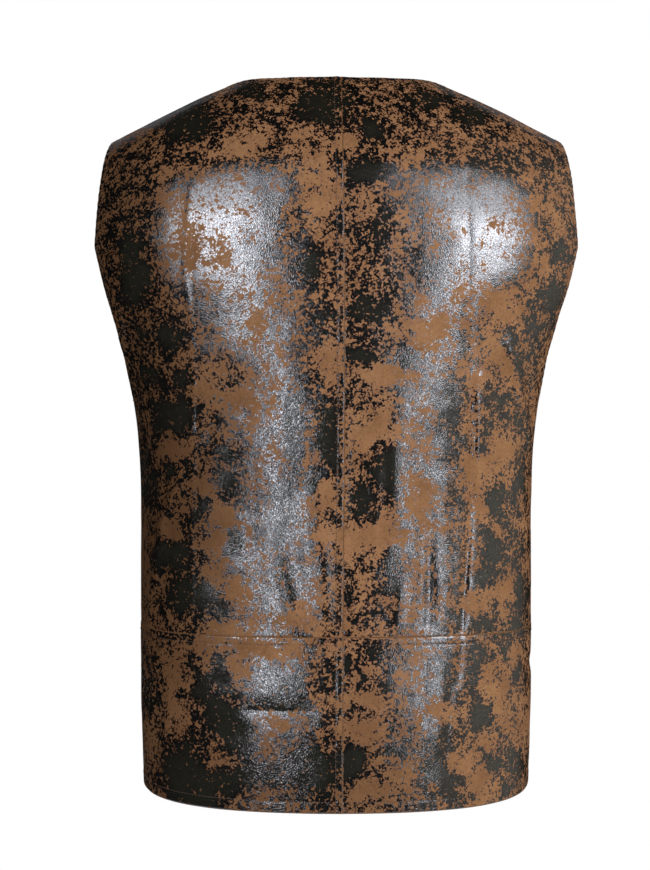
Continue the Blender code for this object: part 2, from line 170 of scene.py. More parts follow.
# Finer creases of the back, with the same columns
BACK_CREASES = (
    # darts: the sewn line and the cloth that rises beside it
    (0.118, -0.095, 0.119, -0.290, 0.0020, -0.0004),
    (0.120, -0.290, 0.124, -0.390, 0.0024, -0.0016),
    (0.124, -0.390, 0.114, -0.512, 0.0024, -0.0009),
    (0.114, -0.518, 0.111, -0.560, 0.0030, -0.0008),
    (-0.1295, -0.110, -0.1310, -0.330, 0.0020, 0.0007),
    (-0.1310, -0.330, -0.1310, -0.512, 0.0020, 0.0003),
    (-0.1258, -0.150, -0.1275, -0.340, 0.0024, -0.0006),
    # beside the armhole towards +X
    (0.157, -0.257, 0.162, -0.292, 0.0040, 0.0010),
    (0.162, -0.292, 0.170, -0.308, 0.0035, 0.0010),
    (0.170, -0.308, 0.178, -0.340, 0.0035, 0.0009),
    (0.174, -0.288, 0.177, -0.328, 0.0035, -0.0011),
    (0.139, -0.277, 0.148, -0.298, 0.0040, -0.0008),
    (0.150, -0.215, 0.146, -0.246, 0.0060, -0.0008),
    # beside the armhole towards -X
    (-0.206, -0.215, -0.200, -0.275, 0.0035, 0.0009),
    (-0.196, -0.205, -0.190, -0.285, 0.0035, -0.0008),
    (-0.188, -0.240, -0.183, -0.300, 0.0035, 0.0007),
    (-0.191, -0.237, -0.190, -0.252, 0.0040, -0.0012),
    (-0.170, -0.330, -0.176, -0.352, 0.0030, -0.0010),
    (-0.176, -0.352, -0.180, -0.366, 0.0030, -0.0010),
    # the long fold down to the waist
    (-0.142, -0.388, -0.152, -0.402, 0.0030, -0.0010),
    (-0.152, -0.402, -0.155, -0.420, 0.0030, -0.0010),
    (-0.155, -0.420, -0.161, -0.446, 0.0035, 0.0010),
    (-0.161, -0.446, -0.168, -0.505, 0.0035, 0.0009),
    (-0.150, -0.425, -0.157, -0.470, 0.0035, -0.0009),
    # the middle of the back
    (-0.088, -0.288, -0.118, -0.326, 0.0060, -0.0003),
    (-0.100, -0.315, -0.128, -0.352, 0.0050, 0.0003),
    (0.016, -0.320, 0.013, -0.410, 0.0050, -0.0003),
    (0.036, -0.330, 0.032, -0.425, 0.0050, 0.0003),
    (0.046, -0.345, 0.044, -0.420, 0.0040, -0.0003),
    (-0.022, -0.400, -0.018, -0.495, 0.0045, -0.0003),
    (-0.010, -0.420, -0.008, -0.500, 0.0040, 0.0003),
    (-0.067, -0.455, -0.048, -0.506, 0.0040, -0.0003),
    (-0.052, -0.440, -0.036, -0.500, 0.0040, 0.0003),
    (-0.078, -0.400, -0.070, -0.470, 0.0060, -0.0003),
    (0.078, -0.385, 0.080, -0.500, 0.0035, 0.0003),
    (0.084, -0.430, 0.083, -0.505, 0.0026, -0.0006),
    (0.092, -0.400, 0.094, -0.505, 0.0035, 0.0003),
    (0.106, -0.390, 0.108, -0.500, 0.0030, -0.0004),
    (0.070, -0.460, 0.066, -0.505, 0.0040, -0.0003),
    (0.060, -0.470, 0.054, -0.508, 0.0040, 0.0003),
    (0.136, -0.470, 0.148, -0.505, 0.0045, -0.0003),
    # the band
    (-0.078, -0.583, -0.024, -0.584, 0.0026, -0.0005),
    (-0.095, -0.600, -0.060, -0.590, 0.0050, 0.0002),
    (0.105, -0.560, 0.099, -0.625, 0.0035, -0.0003),
    (0.096, -0.545, 0.092, -0.620, 0.0045, 0.0003),
    (0.082, -0.530, 0.078, -0.580, 0.0035, -0.0003),
    (0.172, -0.546, 0.189, -0.556, 0.0030, -0.0012),
    (-0.186, -0.560, -0.170, -0.572, 0.0030, 0.0010),
    (-0.172, -0.545, -0.178, -0.640, 0.0040, -0.0010),
    (-0.152, -0.570, -0.160, -0.650, 0.0060, 0.0009),
)
FRONT_CREASES = (
    (0.150, -0.252, 0.118, -0.292, 0.0050, -0.0006),
    (0.168, -0.305, 0.146, -0.346, 0.0040, 0.0006),
    (0.144, -0.410, 0.154, -0.500, 0.0045, -0.0006),
    (0.096, -0.450, 0.102, -0.560, 0.0050, 0.0005),
    (0.060, -0.400, 0.074, -0.490, 0.0050, -0.0005),
    (0.020, -0.300, 0.060, -0.330, 0.0050, 0.0004),
    (-0.142, -0.242, -0.108, -0.286, 0.0050, -0.0006),
    (-0.164, -0.300, -0.142, -0.348, 0.0040, 0.0006),
    (-0.150, -0.420, -0.158, -0.520, 0.0045, -0.0006),
    (-0.106, -0.450, -0.100, -0.570, 0.0050, 0.0005),
    (-0.056, -0.420, -0.070, -0.510, 0.0050, -0.0005),
    (-0.024, -0.385, -0.060, -0.400, 0.0050, 0.0004),
)

# The photo's camera: the pixel that it looks level at, its focal length in pixels and its place
PHOTO_MIDDLE = (336.0, 348.0)
PHOTO_FOCUS = 1951.0
CAMERA = (0.0, -1.88, -0.254)

Patch = namedtuple("Patch", ("x", "y", "half_width", "half_height", "strength"))
# Patches of the back where the black coat has stayed (strength above zero) or has worn away
# (below zero), each an oval given in the photo's pixels
BACK_PATCHES = (
    (130, 280, 32, 150, 0.15), (340, 250, 50, 120, 0.10),
    (330, 780, 60, 30, 0.2), (293, 425, 12, 55, 0.8), (279, 520, 22, 45, 0.9), (272, 600, 18, 34, 0.6),
    (438, 480, 13, 36, 0.8), (438, 622, 16, 18, 0.7), (288, 700, 32, 32, 0.6), (190, 240, 9, 26, -0.8),
    (222, 258, 13, 18, -0.8), (243, 213, 18, 9, -0.6), (218, 290, 14, 10, -0.5), (255, 318, 16, 9, -0.5),
    (498, 224, 16, 8, -0.8), (532, 205, 14, 12, -0.8), (466, 226, 5, 8, -0.5), (432, 258, 10, 4, -0.5),
    (483, 266, 5, 7, -0.5), (458, 292, 8, 10, -0.6), (448, 186, 6, 10, -0.4), (420, 300, 10, 10, -0.5),
    (185, 120, 30, 25, 1), (252, 95, 14, 8, .8), (320, 105, 30, 22, .9), (134, 265, 9, 38, 1),
    (145, 280, 12, 12, .8), (170, 335, 16, 14, 1), (143, 335, 7, 9, .8), (152, 375, 10, 12, .8),
    (185, 378, 12, 12, .9), (175, 415, 24, 22, 1), (265, 435, 12, 14, .7), (428, 103, 20, 12, .9),
    (470, 118, 18, 14, .9), (368, 130, 14, 14, .9), (370, 172, 28, 8, .8), (552, 128, 14, 12, .9),
    (310, 265, 14, 14, .8), (370, 310, 18, 12, .8), (402, 270, 9, 9, .7), (362, 355, 20, 8, .9),
    (325, 315, 15, 9, .8), (412, 360, 14, 9, .8), (405, 392, 10, 8, .8), (445, 400, 18, 34, .9),
    (325, 425, 12, 30, .9), (380, 225, 10, 26, .5), (240, 150, 20, 12, -.9), (300, 100, 10, 8, -.4),
    (318, 190, 18, 38, -.9), (365, 200, 10, 14, -.8), (345, 145, 9, 9, -.8), (430, 330, 26, 18, -1),
    (385, 375, 24, 11, -1), (330, 360, 11, 18, -1), (370, 430, 24, 14, -1), (200, 390, 16, 12, -.9),
    (235, 400, 16, 12, -.9), (250, 230, 42, 60, .6), (220, 310, 26, 34, .5), (280, 330, 16, 20, .5),
    (470, 200, 44, 42, .6), (440, 280, 24, 30, .6), (485, 255, 32, 30, .6), (498, 302, 24, 18, -1),
    (545, 262, 9, 9, -.9), (557, 252, 9, 10, .9), (550, 296, 12, 18, .9), (532, 325, 11, 10, .9),
    (532, 280, 3, 14, -.6), (455, 335, 14, 11, .8), (492, 345, 10, 16, -.9), (480, 380, 12, 8, -.7),
    (505, 368, 8, 18, -.8), (508, 345, 9, 12, .8), (515, 365, 7, 14, .8), (567, 295, 4, 16, -.7),
    (500, 402, 14, 9, .8), (512, 422, 9, 10, .7), (503, 447, 18, 13, -1), (480, 472, 18, 14, -1),
    (520, 446, 8, 9, .8), (516, 480, 6, 16, .7), (500, 489, 10, 8, .9), (492, 508, 6, 11, .8),
    (484, 432, 8, 6, .6), (479, 452, 5, 9, .5), (480, 513, 9, 13, -.8), (502, 520, 9, 14, .8),
    (478, 532, 8, 8, .6), (497, 533, 8, 10, -.8), (490, 550, 11, 15, .9), (480, 577, 15, 13, .95),
    (499, 594, 12, 14, -.9), (474, 604, 12, 14, -1), (494, 610, 3, 11, .7), (489, 627, 10, 7, .8),
    (467, 627, 10, 7, .7), (519, 590, 8, 24, .8), (516, 625, 10, 9, .8), (497, 617, 9, 8, -.7),
    (172, 449, 12, 7, -.9), (204, 489, 14, 10, -1), (168, 470, 8, 9, .8), (150, 487, 11, 16, .8),
    (143, 460, 8, 12, .5), (224, 517, 14, 12, -1), (174, 531, 9, 9, -1), (147, 556, 6, 34, -.7),
    (223, 452, 10, 14, .8), (222, 482, 9, 14, .8), (208, 506, 9, 6, .9), (195, 518, 11, 10, .6),
    (240, 500, 9, 14, .7), (178, 556, 20, 16, 1), (237, 548, 10, 22, 1), (215, 541, 9, 9, -.8),
    (207, 573, 13, 11, -1), (224, 562, 12, 6, -.6), (188, 592, 18, 18, 1), (236, 590, 14, 12, -1),
    (208, 600, 16, 12, .9), (222, 612, 8, 6, .6), (188, 639, 8, 6, .7), (205, 654, 11, 15, -1),
    (238, 668, 11, 11, -.9), (230, 628, 26, 9, -.9), (250, 647, 60, 7, -.9), (150, 740, 12, 26, -.5),
    (150, 625, 8, 30, -.4), (151, 690, 8, 40, .5),
    (175, 700, 8, 40, -.7), (195, 662, 8, 12, .8), (219, 664, 8, 12, .8), (210, 690, 24, 16, 1),
    (226, 714, 22, 18, 1), (240, 738, 26, 16, 1), (192, 684, 7, 5, -.9), (217, 692, 6, 6, -.9),
    (230, 706, 7, 7, -.9), (182, 770, 22, 30, .9), (205, 790, 30, 20, .9), (215, 762, 10, 6, -.7),
    (262, 735, 20, 12, -.5), (250, 775, 30, 16, .9), (328, 455, 9, 16, .9), (327, 492, 10, 12, -1),
    (313, 478, 7, 14, .7), (313, 510, 4, 10, -.7), (308, 527, 7, 12, .7), (322, 532, 10, 9, -.8),
    (390, 472, 17, 27, 1), (361, 502, 7, 22, .8), (372, 512, 4, 11, .7), (424, 500, 18, 24, -1),
    (380, 535, 28, 15, -1), (345, 545, 14, 16, -.9), (406, 527, 7, 9, .8), (391, 560, 8, 13, .9),
    (409, 549, 6, 11, .9), (370, 570, 9, 9, .6), (401, 587, 9, 9, .7), (303, 568, 9, 8, .8),
    (345, 580, 10, 12, .6), (295, 590, 9, 10, .8), (285, 620, 30, 8, -.8), (300, 600, 10, 8, -.5),
    (280, 655, 26, 6, -.8), (275, 685, 30, 22, .9), (312, 652, 12, 4, .7), (375, 656, 11, 6, .7),
    (392, 672, 4, 9, .7), (346, 667, 5, 12, .6), (361, 683, 6, 8, .7), (386, 690, 11, 8, .8),
    (330, 685, 9, 10, .6), (315, 722, 8, 11, .7), (350, 710, 6, 5, .7), (395, 727, 8, 4, .6),
    (411, 725, 6, 6, .8), (392, 737, 6, 9, .6), (360, 700, 22, 8, -.8), (365, 735, 22, 14, -.9),
    (320, 700, 12, 12, -.8), (290, 725, 16, 10, -.6), (310, 770, 24, 26, .9), (356, 762, 14, 20, .9),
    (395, 752, 14, 6, .7), (385, 762, 9, 7, -.8), (362, 793, 18, 12, -1), (400, 780, 14, 12, -.7),
    (485, 688, 8, 13, -.9), (476, 675, 5, 20, .7), (442, 714, 14, 9, -.9), (440, 680, 18, 26, .8),
    (440, 745, 18, 20, .7), (480, 716, 13, 17, 1), (500, 700, 8, 20, -.8), (490, 738, 9, 16, -.8),
    (454, 762, 15, 12, -.9), (477, 746, 6, 10, -.6), (434, 775, 14, 18, .9), (452, 790, 16, 12, .9),
    (481, 790, 15, 15, -1), (496, 765, 8, 17, .9), (514, 768, 8, 20, .6), (506, 790, 8, 7, .6),
    (478, 655, 12, 10, .7), (490, 648, 8, 6, -.6), (506, 650, 5, 12, .9), (516, 658, 7, 9, -.8),
    (522, 720, 8, 24, -.6), (517, 677, 6, 9, .7), (430, 610, 14, 8, -.6), (440, 560, 14, 34, .6),
)
# Painted shade: ovals where the tan is darkened towards the back's -X side and its bottom, with the same
# columns
BACK_PAINTED_SHADE = (
    (150, 560, 75, 270, 0.9), (120, 250, 55, 160, 0.7), (260, 800, 150, 60, 0.45), (215, 480, 60, 120, 0.3),
    (340, 770, 90, 60, 0.3), (500, 420, 40, 60, -0.1),
)
# Patches of the front, with the same columns in metres: x is X and y is Z
FRONT_PATCHES = (
    (-0.120, -0.050, 0.030, 0.024, 1), (0.128, -0.060, 0.026, 0.030, 1),
    (-0.090, -0.130, 0.018, 0.030, -1), (0.095, -0.120, 0.020, 0.026, -0.9),
    (-0.150, -0.160, 0.018, 0.034, 0.9), (0.150, -0.150, 0.016, 0.026, 0.8),
    (-0.100, -0.215, 0.034, 0.022, 0.9), (0.100, -0.210, 0.028, 0.030, 1),
    (-0.060, -0.250, 0.016, 0.022, -1), (0.050, -0.235, 0.014, 0.022, -0.9),
    (-0.140, -0.270, 0.022, 0.018, -0.9), (0.140, -0.285, 0.020, 0.024, -1),
    (-0.100, -0.310, 0.026, 0.034, 1), (0.085, -0.320, 0.024, 0.030, 0.9),
    (-0.035, -0.330, 0.018, 0.028, 0.8), (0.035, -0.345, 0.016, 0.022, -0.9),
    (-0.150, -0.350, 0.016, 0.030, 0.8), (0.150, -0.360, 0.016, 0.032, 0.9),
    (-0.070, -0.385, 0.024, 0.018, -1), (0.105, -0.400, 0.026, 0.020, -0.9),
    (-0.120, -0.425, 0.024, 0.030, 1), (0.060, -0.430, 0.022, 0.034, 1),
    (-0.030, -0.440, 0.016, 0.026, -0.8), (0.020, -0.455, 0.016, 0.020, 0.7),
    (-0.075, -0.470, 0.018, 0.024, 0.8), (0.140, -0.470, 0.020, 0.026, 0.9),
    (-0.150, -0.500, 0.018, 0.028, -0.9), (0.100, -0.500, 0.018, 0.020, -1),
    (-0.050, -0.530, 0.026, 0.022, 1), (0.050, -0.535, 0.024, 0.022, -0.8),
    (-0.110, -0.560, 0.028, 0.026, 0.9), (0.130, -0.560, 0.024, 0.028, 1),
    (-0.015, -0.580, 0.018, 0.020, -0.9), (0.075, -0.590, 0.026, 0.020, 0.9),
    (-0.075, -0.610, 0.024, 0.016, -1), (0.020, -0.620, 0.020, 0.018, 0.8),
    (-0.140, -0.620, 0.020, 0.024, 0.8), (0.120, -0.630, 0.022, 0.016, -0.9),
    (-0.030, -0.650, 0.020, 0.012, 0.7),
)

COAT_SHARE = 0.06  # a higher share leaves more coat between the patches
FRONT_COAT = 0.75  # the front's patches count this much
FRONT_UNIT = 0.0022  # metres on the front for a pixel of the back's ragged outlines
RAGGED = ((42, 7.0), (110, 4.5))  # noise to a metre, pixels
PATCH_EDGE = 1.3  # a higher number gives a patch a harder edge

# Relief of a panel
STEP = 0.0022  # grid step at a panel's middle
FRONT_STEP = 1.15  # a front's grid step is this much coarser
# Width and length that each grid is spaced for
BACK_GRID, BAND_GRID, FRONT_GRID = (0.26, 0.56), (0.275, 0.16), (0.26, 0.66)
FINE_STEP = 0.0004  # grid step at a panel's edge
FOLD_END, FOLD_MORE = 0.55, 0.45  # a fold's height at its ends, and what its middle adds
FOLD_FADE = 0.7
FOLD_FAR = 3.0  # a fold ends this many reaches away
SEAM_GROOVE = 0.00012
SEAM_REACH = 0.0010
SEAM_WEAR = 0.0005
RUBBED_OFF = 1.6  # how much coat an edge or a seam loses
EDGE_ROLL = 0.0008
EDGE_REACH = 0.0014
EDGE_TUCK = 0.7  # the inside turns by this share of the outside's roll
TUCK_MOST = 0.0007
STRIP_RISE = 0.00009  # cloth between an edge and its topstitch
STRIP_SLOPE = 0.0016
STRIP_END = (0.0006, -0.0012)  # from past the topstitch to before it
STITCH_GROOVE = 0.00011
STITCH_REACH = 0.0010
PUCKER = {"seam": 0.00005, "edge": 0.00034, "hem": 0.00020}
PUCKER_LENGTH = 0.0085
PUCKER_FAR = 0.02
PUCKER_DRIFT, PUCKER_SWELL = 0.03, 0.05  # lengths over which the ripple's beat and height change
PUCKER_SHIFT = 3.0  # radians that the beat drifts by
PUCKER_HEIGHT, PUCKER_CHANGE = 0.6, 0.8
PUCKER_MIDDLE, PUCKER_WIDTH = 0.6, 0.62  # shares of the topstitch's distance
SWELL_SEED = 40
SEED_SPREAD, WAVE_LEVEL = 7.3, 0.5
PLACE_SHIFT = (0.37, 0.11)
UNEVEN = ((34, 0.00040), (90, 0.00009), (210, 0.00003))  # noise to a metre, height
SHARP_CLOTH, SHARP_BUTTON = 50, 40  # degrees from which a corner is shown sharp

HALVINGS = 26  # steps that find the turn of a place
SHARE_SAMPLES = 4001
COARSENING = 0.09  # what a grid step gains to a metre from the edge

# Reading a seam or an edge
LINE_PLACES = 700
LINE_COARSE = 14  # every so many of them for a first look
LINE_NEAR = 0.034  # further than any relief of a line reaches
LINE_CHUNK = 6000  # points at a time

# Sewing
TOPSTITCH = 0.0064  # from an edge or a seam
HEM_STITCH = 0.0105
WAIST_STITCH = 0.0068
STITCH = 0.0031
STITCH_GAP = 0.0006
STITCH_RISE = (-0.0004, 0.00005, 0.00022, 0.00005, -0.0004)  # of one stitch, along its length
STITCH_SIDES = 6
THREAD = 0.00030

BUTTON_HEIGHTS = (-0.285, -0.375, -0.465, -0.555)
BUTTON_RADIUS = 0.009
BUTTON_THICKNESS = 0.0036
BUTTON_SEAT = 0.0003
BUTTON_SIDES = 48
# A button's profile from its middle over the rim: share of the radius, share of the thickness
BUTTON_PROFILE = (
    (0.0, 0.66), (0.30, 0.66), (0.50, 0.70), (0.60, 0.82), (0.70, 0.97), (0.78, 1.0), (0.88, 0.98),
    (0.96, 0.84), (1.0, 0.62), (0.985, 0.34), (0.93, 0.08), (0.86, 0.0), (0.0, 0.0),
)
HOLE_PLACE = 0.0017  # of a sewing hole from the button's middle, each way
HOLE_RADIUS = 0.0009
HOLE_SIDES = 16
HOLE_CUT = (-0.001, 0.006)  # heights that the cut runs between
BUTTON_THREAD = 0.00042
# A thread across the button: place each way, height
THREAD_PATH = (
    (-HOLE_PLACE, 0.0016), (-HOLE_PLACE, 0.0026), (-0.0012, 0.0028), (0.0, 0.0029),
    (0.0012, 0.0028), (HOLE_PLACE, 0.0026), (HOLE_PLACE, 0.0016),
)
THREAD_CROSSING = 0.0004  # one thread's middle lies this far above and the other's below
BUTTONHOLE_MIDDLE = -0.006
BUTTONHOLE_HALF, BUTTONHOLE_GAP = 0.0095, 0.0011
BUTTONHOLE_THREAD, BUTTONHOLE_RISE = 0.0005, 0.00015

# Colours
TAN = (0.196, 0.100, 0.0430, 1.0)
TAN_DEEP = (0.143, 0.069, 0.0285, 1.0)
TAN_RED = (0.207, 0.095, 0.0470, 1.0)
# TAN_DARK is the colour of the dark flecks, of the worn seams and edges, and of the painted shade
TAN_DARK = (0.066, 0.031, 0.0125, 1.0)
COAT_BLACK = (0.0010, 0.0009, 0.0007, 1.0)
# the olive is partly the coat's own tone and partly painted sheen
COAT_OLIVE_AND_SHEEN = (0.0100, 0.0096, 0.0056, 1.0)
SUEDE_LIGHT = (0.060, 0.034, 0.019, 1.0)
SUEDE_DARK = (0.036, 0.021, 0.013, 1.0)
THREAD_BROWN = (0.050, 0.024, 0.012, 1.0)
BUTTON_BLACK = (0.020, 0.017, 0.015, 1.0)
FLOOR_GREY = (0.72, 0.72, 0.72, 1.0)
ROOM = (1.0, 0.95, 0.85, 1.0)
PAGE = (1.0, 1.0, 1.0, 1.0)

# How the coat breaks up: its patches' weight and three sizes of noise
PATCH_WEIGHT = 0.64
Texture = namedtuple("Texture", ("scale", "detail", "roughness", "weight"))
COAT_NOISES = ((70.0, 3.0, 0.6, 1.9), (250.0, 2.0, 0.6, 2.4), (560.0, 3.0, 0.7, 2.4))

COAT_EDGE = (-0.02, 0.04)  # of that field, from bare leather to coat
CHIP_EDGE = (-0.45, 0.0)  # the same, for the reddened leather beside it
MOTTLE, MOTTLE_EDGE = 34.0, (0.40, 0.62)
FLECK, FLECK_EDGE, FLECK_MOST = 420.0, (0.46, 0.62), 0.35
OLIVE_EDGE = (0.30, 1.30)
PEBBLE, PEBBLE_SEAM, GRAIN = 560.0, 0.22, 1300.0  # grain cells, the width of their seams, fine grain
GRAIN_SHARE, COAT_RELIEF, RELIEF = 0.6, 0.30, 0.00012
SPARKLE, SPARKLE_EDGE, SPARKLE_LEAST = 760.0, (0.36, 0.64), 0.36
COAT_ROUGHNESS, COAT_IOR, BARE_ROUGHNESS, BARE_GLOSS = 0.10, 2.1, 0.68, 0.05
TEXTURE_TURN = (0.62, 0.47, 0.81)
SUEDE_MOTTLE, SUEDE_EDGE, SUEDE_NAP, SUEDE_RELIEF = 60.0, (0.35, 0.65), 900.0, 0.0003

# Camera, floor and lamps
LENS, SENSOR = 80.73, 36.0  # millimetres
LOOK_AT = Vector((-0.0106, 0.0, -0.3378))
FLOOR_RADIUS, FLOOR_HEIGHT, FLOOR_SIDES = 1.3, -1.25, 64
VEST_BACK = Vector((0.0, -0.10, -0.33))
LAMP_COLOUR = (0.90, 0.915, 1.0)
Lamp = namedtuple("Lamp", ("name", "azimuth_from", "azimuth_to", "elevation_from", "elevation_to",
                           "distance", "radiance", "glossy"))
# Azimuths and elevations in degrees as seen from the vest's back. Glossy: seen in reflections
LAMPS = (
    ("softbox_left", -44.0, -14.5, -1.5, 43.0, 2.2, 4.6, True),
    ("softbox_left_core", -29.0, -16.0, 0.5, 27.0, 2.1, 8.0, True),
    ("strip_left", -14.2, -12.0, -5.5, -1.5, 2.2, 13.0, True),
    ("strip_left_low", -18.0, -13.0, -14.6, -5.5, 2.2, 13.0, True),
    ("softbox_right", 20.0, 58.0, -2.0, 43.0, 2.2, 4.4, True),
    ("softbox_right_core", 24.0, 46.0, 0.0, 22.0, 2.1, 7.0, True),
    ("strip_right", 20.5, 26.5, -15.2, -2.0, 2.2, 8.5, True),
    ("side_fill", 60.0, 100.0, -10.0, 40.0, 2.4, 2.6, False),
    ("softbox_far_left", 195.0, 222.0, 0.0, 40.0, 2.6, 0.25, True),
    ("softbox_far_right", 138.0, 165.0, 0.0, 40.0, 2.6, 0.25, True),
    ("front_fill", 150.0, 210.0, 5.0, 50.0, 2.6, 6.5, False),
)


class Smooth:
    """A smooth curve through the values that are known at some places."""

    def __init__(self, known, value):
        self.known = np.array(known, float)
        self.value = np.array(value, float)
        self.slope = np.gradient(self.value, self.known)

    def __call__(self, at):
        at = np.asarray(at, float)
        i = np.clip(np.searchsorted(self.known, at) - 1, 0, len(self.known) - 2)
        span = self.known[i + 1] - self.known[i]
        s = np.clip((at - self.known[i]) / span, 0.0, 1.0)
        start = (1 + 2 * s) * self.value[i] + s * span * self.slope[i]
        end = (3 - 2 * s) * self.value[i + 1] + (s - 1) * span * self.slope[i + 1]
        return start * (1 - s) ** 2 + end * s * s


def curves(table):
    known, *values = zip(*table)
    return [Smooth(known, value) for value in values]


half_width_at, back_depth_at, front_depth_at, squareness_at = curves(SECTIONS)
ridge_z_at, ridge_y_at = curves(RIDGE_LINE)
(centre_seam_at,) = curves(CENTRE_SEAM)


def hem_height(turn):
    return HEM - HEM_DROP * np.cos(turn) ** 2


def torso(turn, height):
    """Points on the inside of the cloth before it folds."""
    turn, height = np.broadcast_arrays(np.asarray(turn, float), np.asarray(height, float))
    level = np.minimum(height, YOKE)
    depth = np.where(np.cos(turn) > 0, back_depth_at(level), front_depth_at(level))
    square = squareness_at(level)
    share = (np.sin(turn) + square * np.sin(3 * turn)) / (1 - square)
    x = half_width_at(level) * share
    y = -depth * (np.cos(turn) - square * np.cos(3 * turn)) / (1 - square)
    climb = np.pi / 2 * np.clip((height - YOKE) / CLIMB, 0.0, None)
    x = x + (RIDGE_HALF_WIDTH * share - x) * np.sin(climb)
    ridge_y = ridge_y_at(np.abs(x))
    above = YOKE + (ridge_z_at(np.abs(x)) - YOKE) * np.sin(climb)
    z = np.where(height <= YOKE, height, above)
    return np.stack([x, ridge_y + (y - ridge_y) * np.cos(climb), z], -1)


def slopes(turn, height):
    step = 0.0005
    along = (torso(turn + step, height) - torso(turn - step, height)) / (2 * step)
    up = (torso(turn, height + step) - torso(turn, height - step)) / (2 * step)
    return along, up


def unit(vectors):
    return vectors / np.maximum(np.linalg.norm(vectors, axis=-1, keepdims=True), 1e-12)


def outward(turn, height):
    along, up = slopes(turn, height)
    return unit(np.cross(along, up))


def turn_at(x, height):
    """The turn in the back half where the torso is x from the middle."""
    x, height = np.broadcast_arrays(np.asarray(x, float), np.asarray(height, float))
    low, high = np.full(x.shape, -np.pi / 2), np.full(x.shape, np.pi / 2)
    for _ in range(HALVINGS):
        middle = (low + high) / 2
        under = torso(middle, height)[..., 0] < x
        low, high = np.where(under, middle, low), np.where(under, high, middle)
    return (low + high) / 2


def height_at(x, z):
    if z <= YOKE:
        return z
    share = min((z - YOKE) / (float(ridge_z_at(abs(x))) - YOKE), 1.0)
    return YOKE + CLIMB * math.asin(share) * 2 / math.pi


def flat_place(x, z, is_front=False):
    """A place as flat coordinates in metres."""
    up = height_at(x, z)
    turn = float(turn_at(x, up))
    return ((math.pi - turn if is_front else turn) * ROUND, up)


def flat_folds(table, is_front):
    """Each fold as its start, its way to the end, its bend at mid-way, its reach and its height."""
    folds = []
    for row in map(Fold._make, table):
        start = np.array(flat_place(row.from_x, row.from_z, is_front))
        end = np.array(flat_place(row.to_x, row.to_z, is_front))
        middle = flat_place((row.from_x + row.to_x) / 2, (row.from_z + row.to_z) / 2, is_front)
        bend = np.array(middle) - (start + end) / 2
        folds.append((start, end - start, bend, row.reach, row.height))
    return folds


ALL_FOLDS = flat_folds(BACK_FOLDS + BACK_CREASES, False) + flat_folds(FRONT_FOLDS + FRONT_CREASES, True)


def fold(turn, height):
    """How far folds and creases push the cloth out."""
    is_back = np.cos(turn) > 0
    side = np.where(is_back, np.arctan2(np.sin(turn), np.cos(turn)), np.mod(turn, 2 * np.pi))
    here = np.stack([side * ROUND, height], -1)
    total = np.zeros(here.shape[:-1])
    for start, along, bend, reach, rise in ALL_FOLDS:
        share = np.clip((here - start) @ along / (along @ along), 0.0, 1.0)[..., None]
        across = here - start - share * along - 4 * share * (1 - share) * bend
        away = np.linalg.norm(across, axis=-1) / reach
        # a fold fades towards its ends
        middle = np.sin(np.pi * np.clip(share[..., 0], 0.02, 0.98)) ** FOLD_FADE
        fade = FOLD_END + FOLD_MORE * middle
        near = rise * fade * np.exp(-np.minimum(away, FOLD_FAR) ** 2)
        total += np.where(away < FOLD_FAR, near, 0.0)
    return total


def lap(x):
    share = np.clip((x + LAP_FROM) / LAP_RISE, 0.0, 1.0)
    return LAP_LIFT * share * share * (3 - 2 * share)


def edge(table):
    """A smooth edge through a table's places, read by the share of its length."""
    points = [(math.radians(turn) * ROUND, height) for turn, height in table]
    length = [0.0]
    for before, after in zip(points, points[1:]):
        length.append(length[-1] + math.dist(before, after))
    turn_along = Smooth(length, [p[0] for p in points])
    height_along = Smooth(length, [p[1] for p in points])
    return lambda share: (turn_along(share * length[-1]) / ROUND, height_along(share * length[-1]))


def centre_seam(side):
    """The centre back seam's turn over the height, seen from one half."""
    heights = np.linspace(-0.70, YOKE, 40)
    return Smooth(heights, turn_at(side * centre_seam_at(heights) + SEAM_GAP, heights))


def pair(turn, height):
    return np.stack(np.broadcast_arrays(turn, height), -1)


# Each of a panel's four sides gives places for shares from 0 to 1 along it, on the +X half


def back_upper_sides(side):
    seam = centre_seam(side)
    side_turn = math.radians(90) - SEAM_GAP / ROUND
    foot = WAIST_SEAM + SEAM_GAP
    neck_height = YOKE + BACK_NECK_CLIMB
    neck_turn, tip_turn = math.radians(NECK_TURN), math.radians(TIP_TURN)
    armhole = edge(BACK_ARMHOLE)

    def low(v):
        height = foot + (neck_height - foot) * v
        # above the yoke the seam follows the same turn as at the yoke's level
        level = np.minimum(height, YOKE)
        return pair(turn_at(side * centre_seam_at(height) + SEAM_GAP, level), height)

    def high(v):
        turn, height = armhole(np.clip((v - BACK_UNDERARM_SHARE) / (1 - BACK_UNDERARM_SHARE), 0, 1))
        turn, height = np.minimum(turn, side_turn), np.minimum(height, RIDGE - RIDGE_GAP)
        under = v < BACK_UNDERARM_SHARE
        straight = foot + (UNDERARM - foot) * v / BACK_UNDERARM_SHARE
        return pair(np.where(under, side_turn, turn), np.where(under, straight, height))

    def bottom(u):
        start = seam(foot)
        return pair(start + (side_turn - start) * u, foot)

    def top(u):
        start = low(np.array([1.0]))[0, 0]
        bend = np.pi / 2 * np.clip(u / BACK_NECK_SHARE, 0, 1)
        turn = start + (neck_turn - start) * np.sin(bend)
        height = neck_height + (RIDGE - RIDGE_GAP - neck_height) * (1 - np.cos(bend))
        past = neck_turn + (tip_turn - neck_turn) * (u - BACK_NECK_SHARE) / (1 - BACK_NECK_SHARE)
        neck = u < BACK_NECK_SHARE
        return pair(np.where(neck, turn, past), np.where(neck, height, RIDGE - RIDGE_GAP))

    return low, high, bottom, top


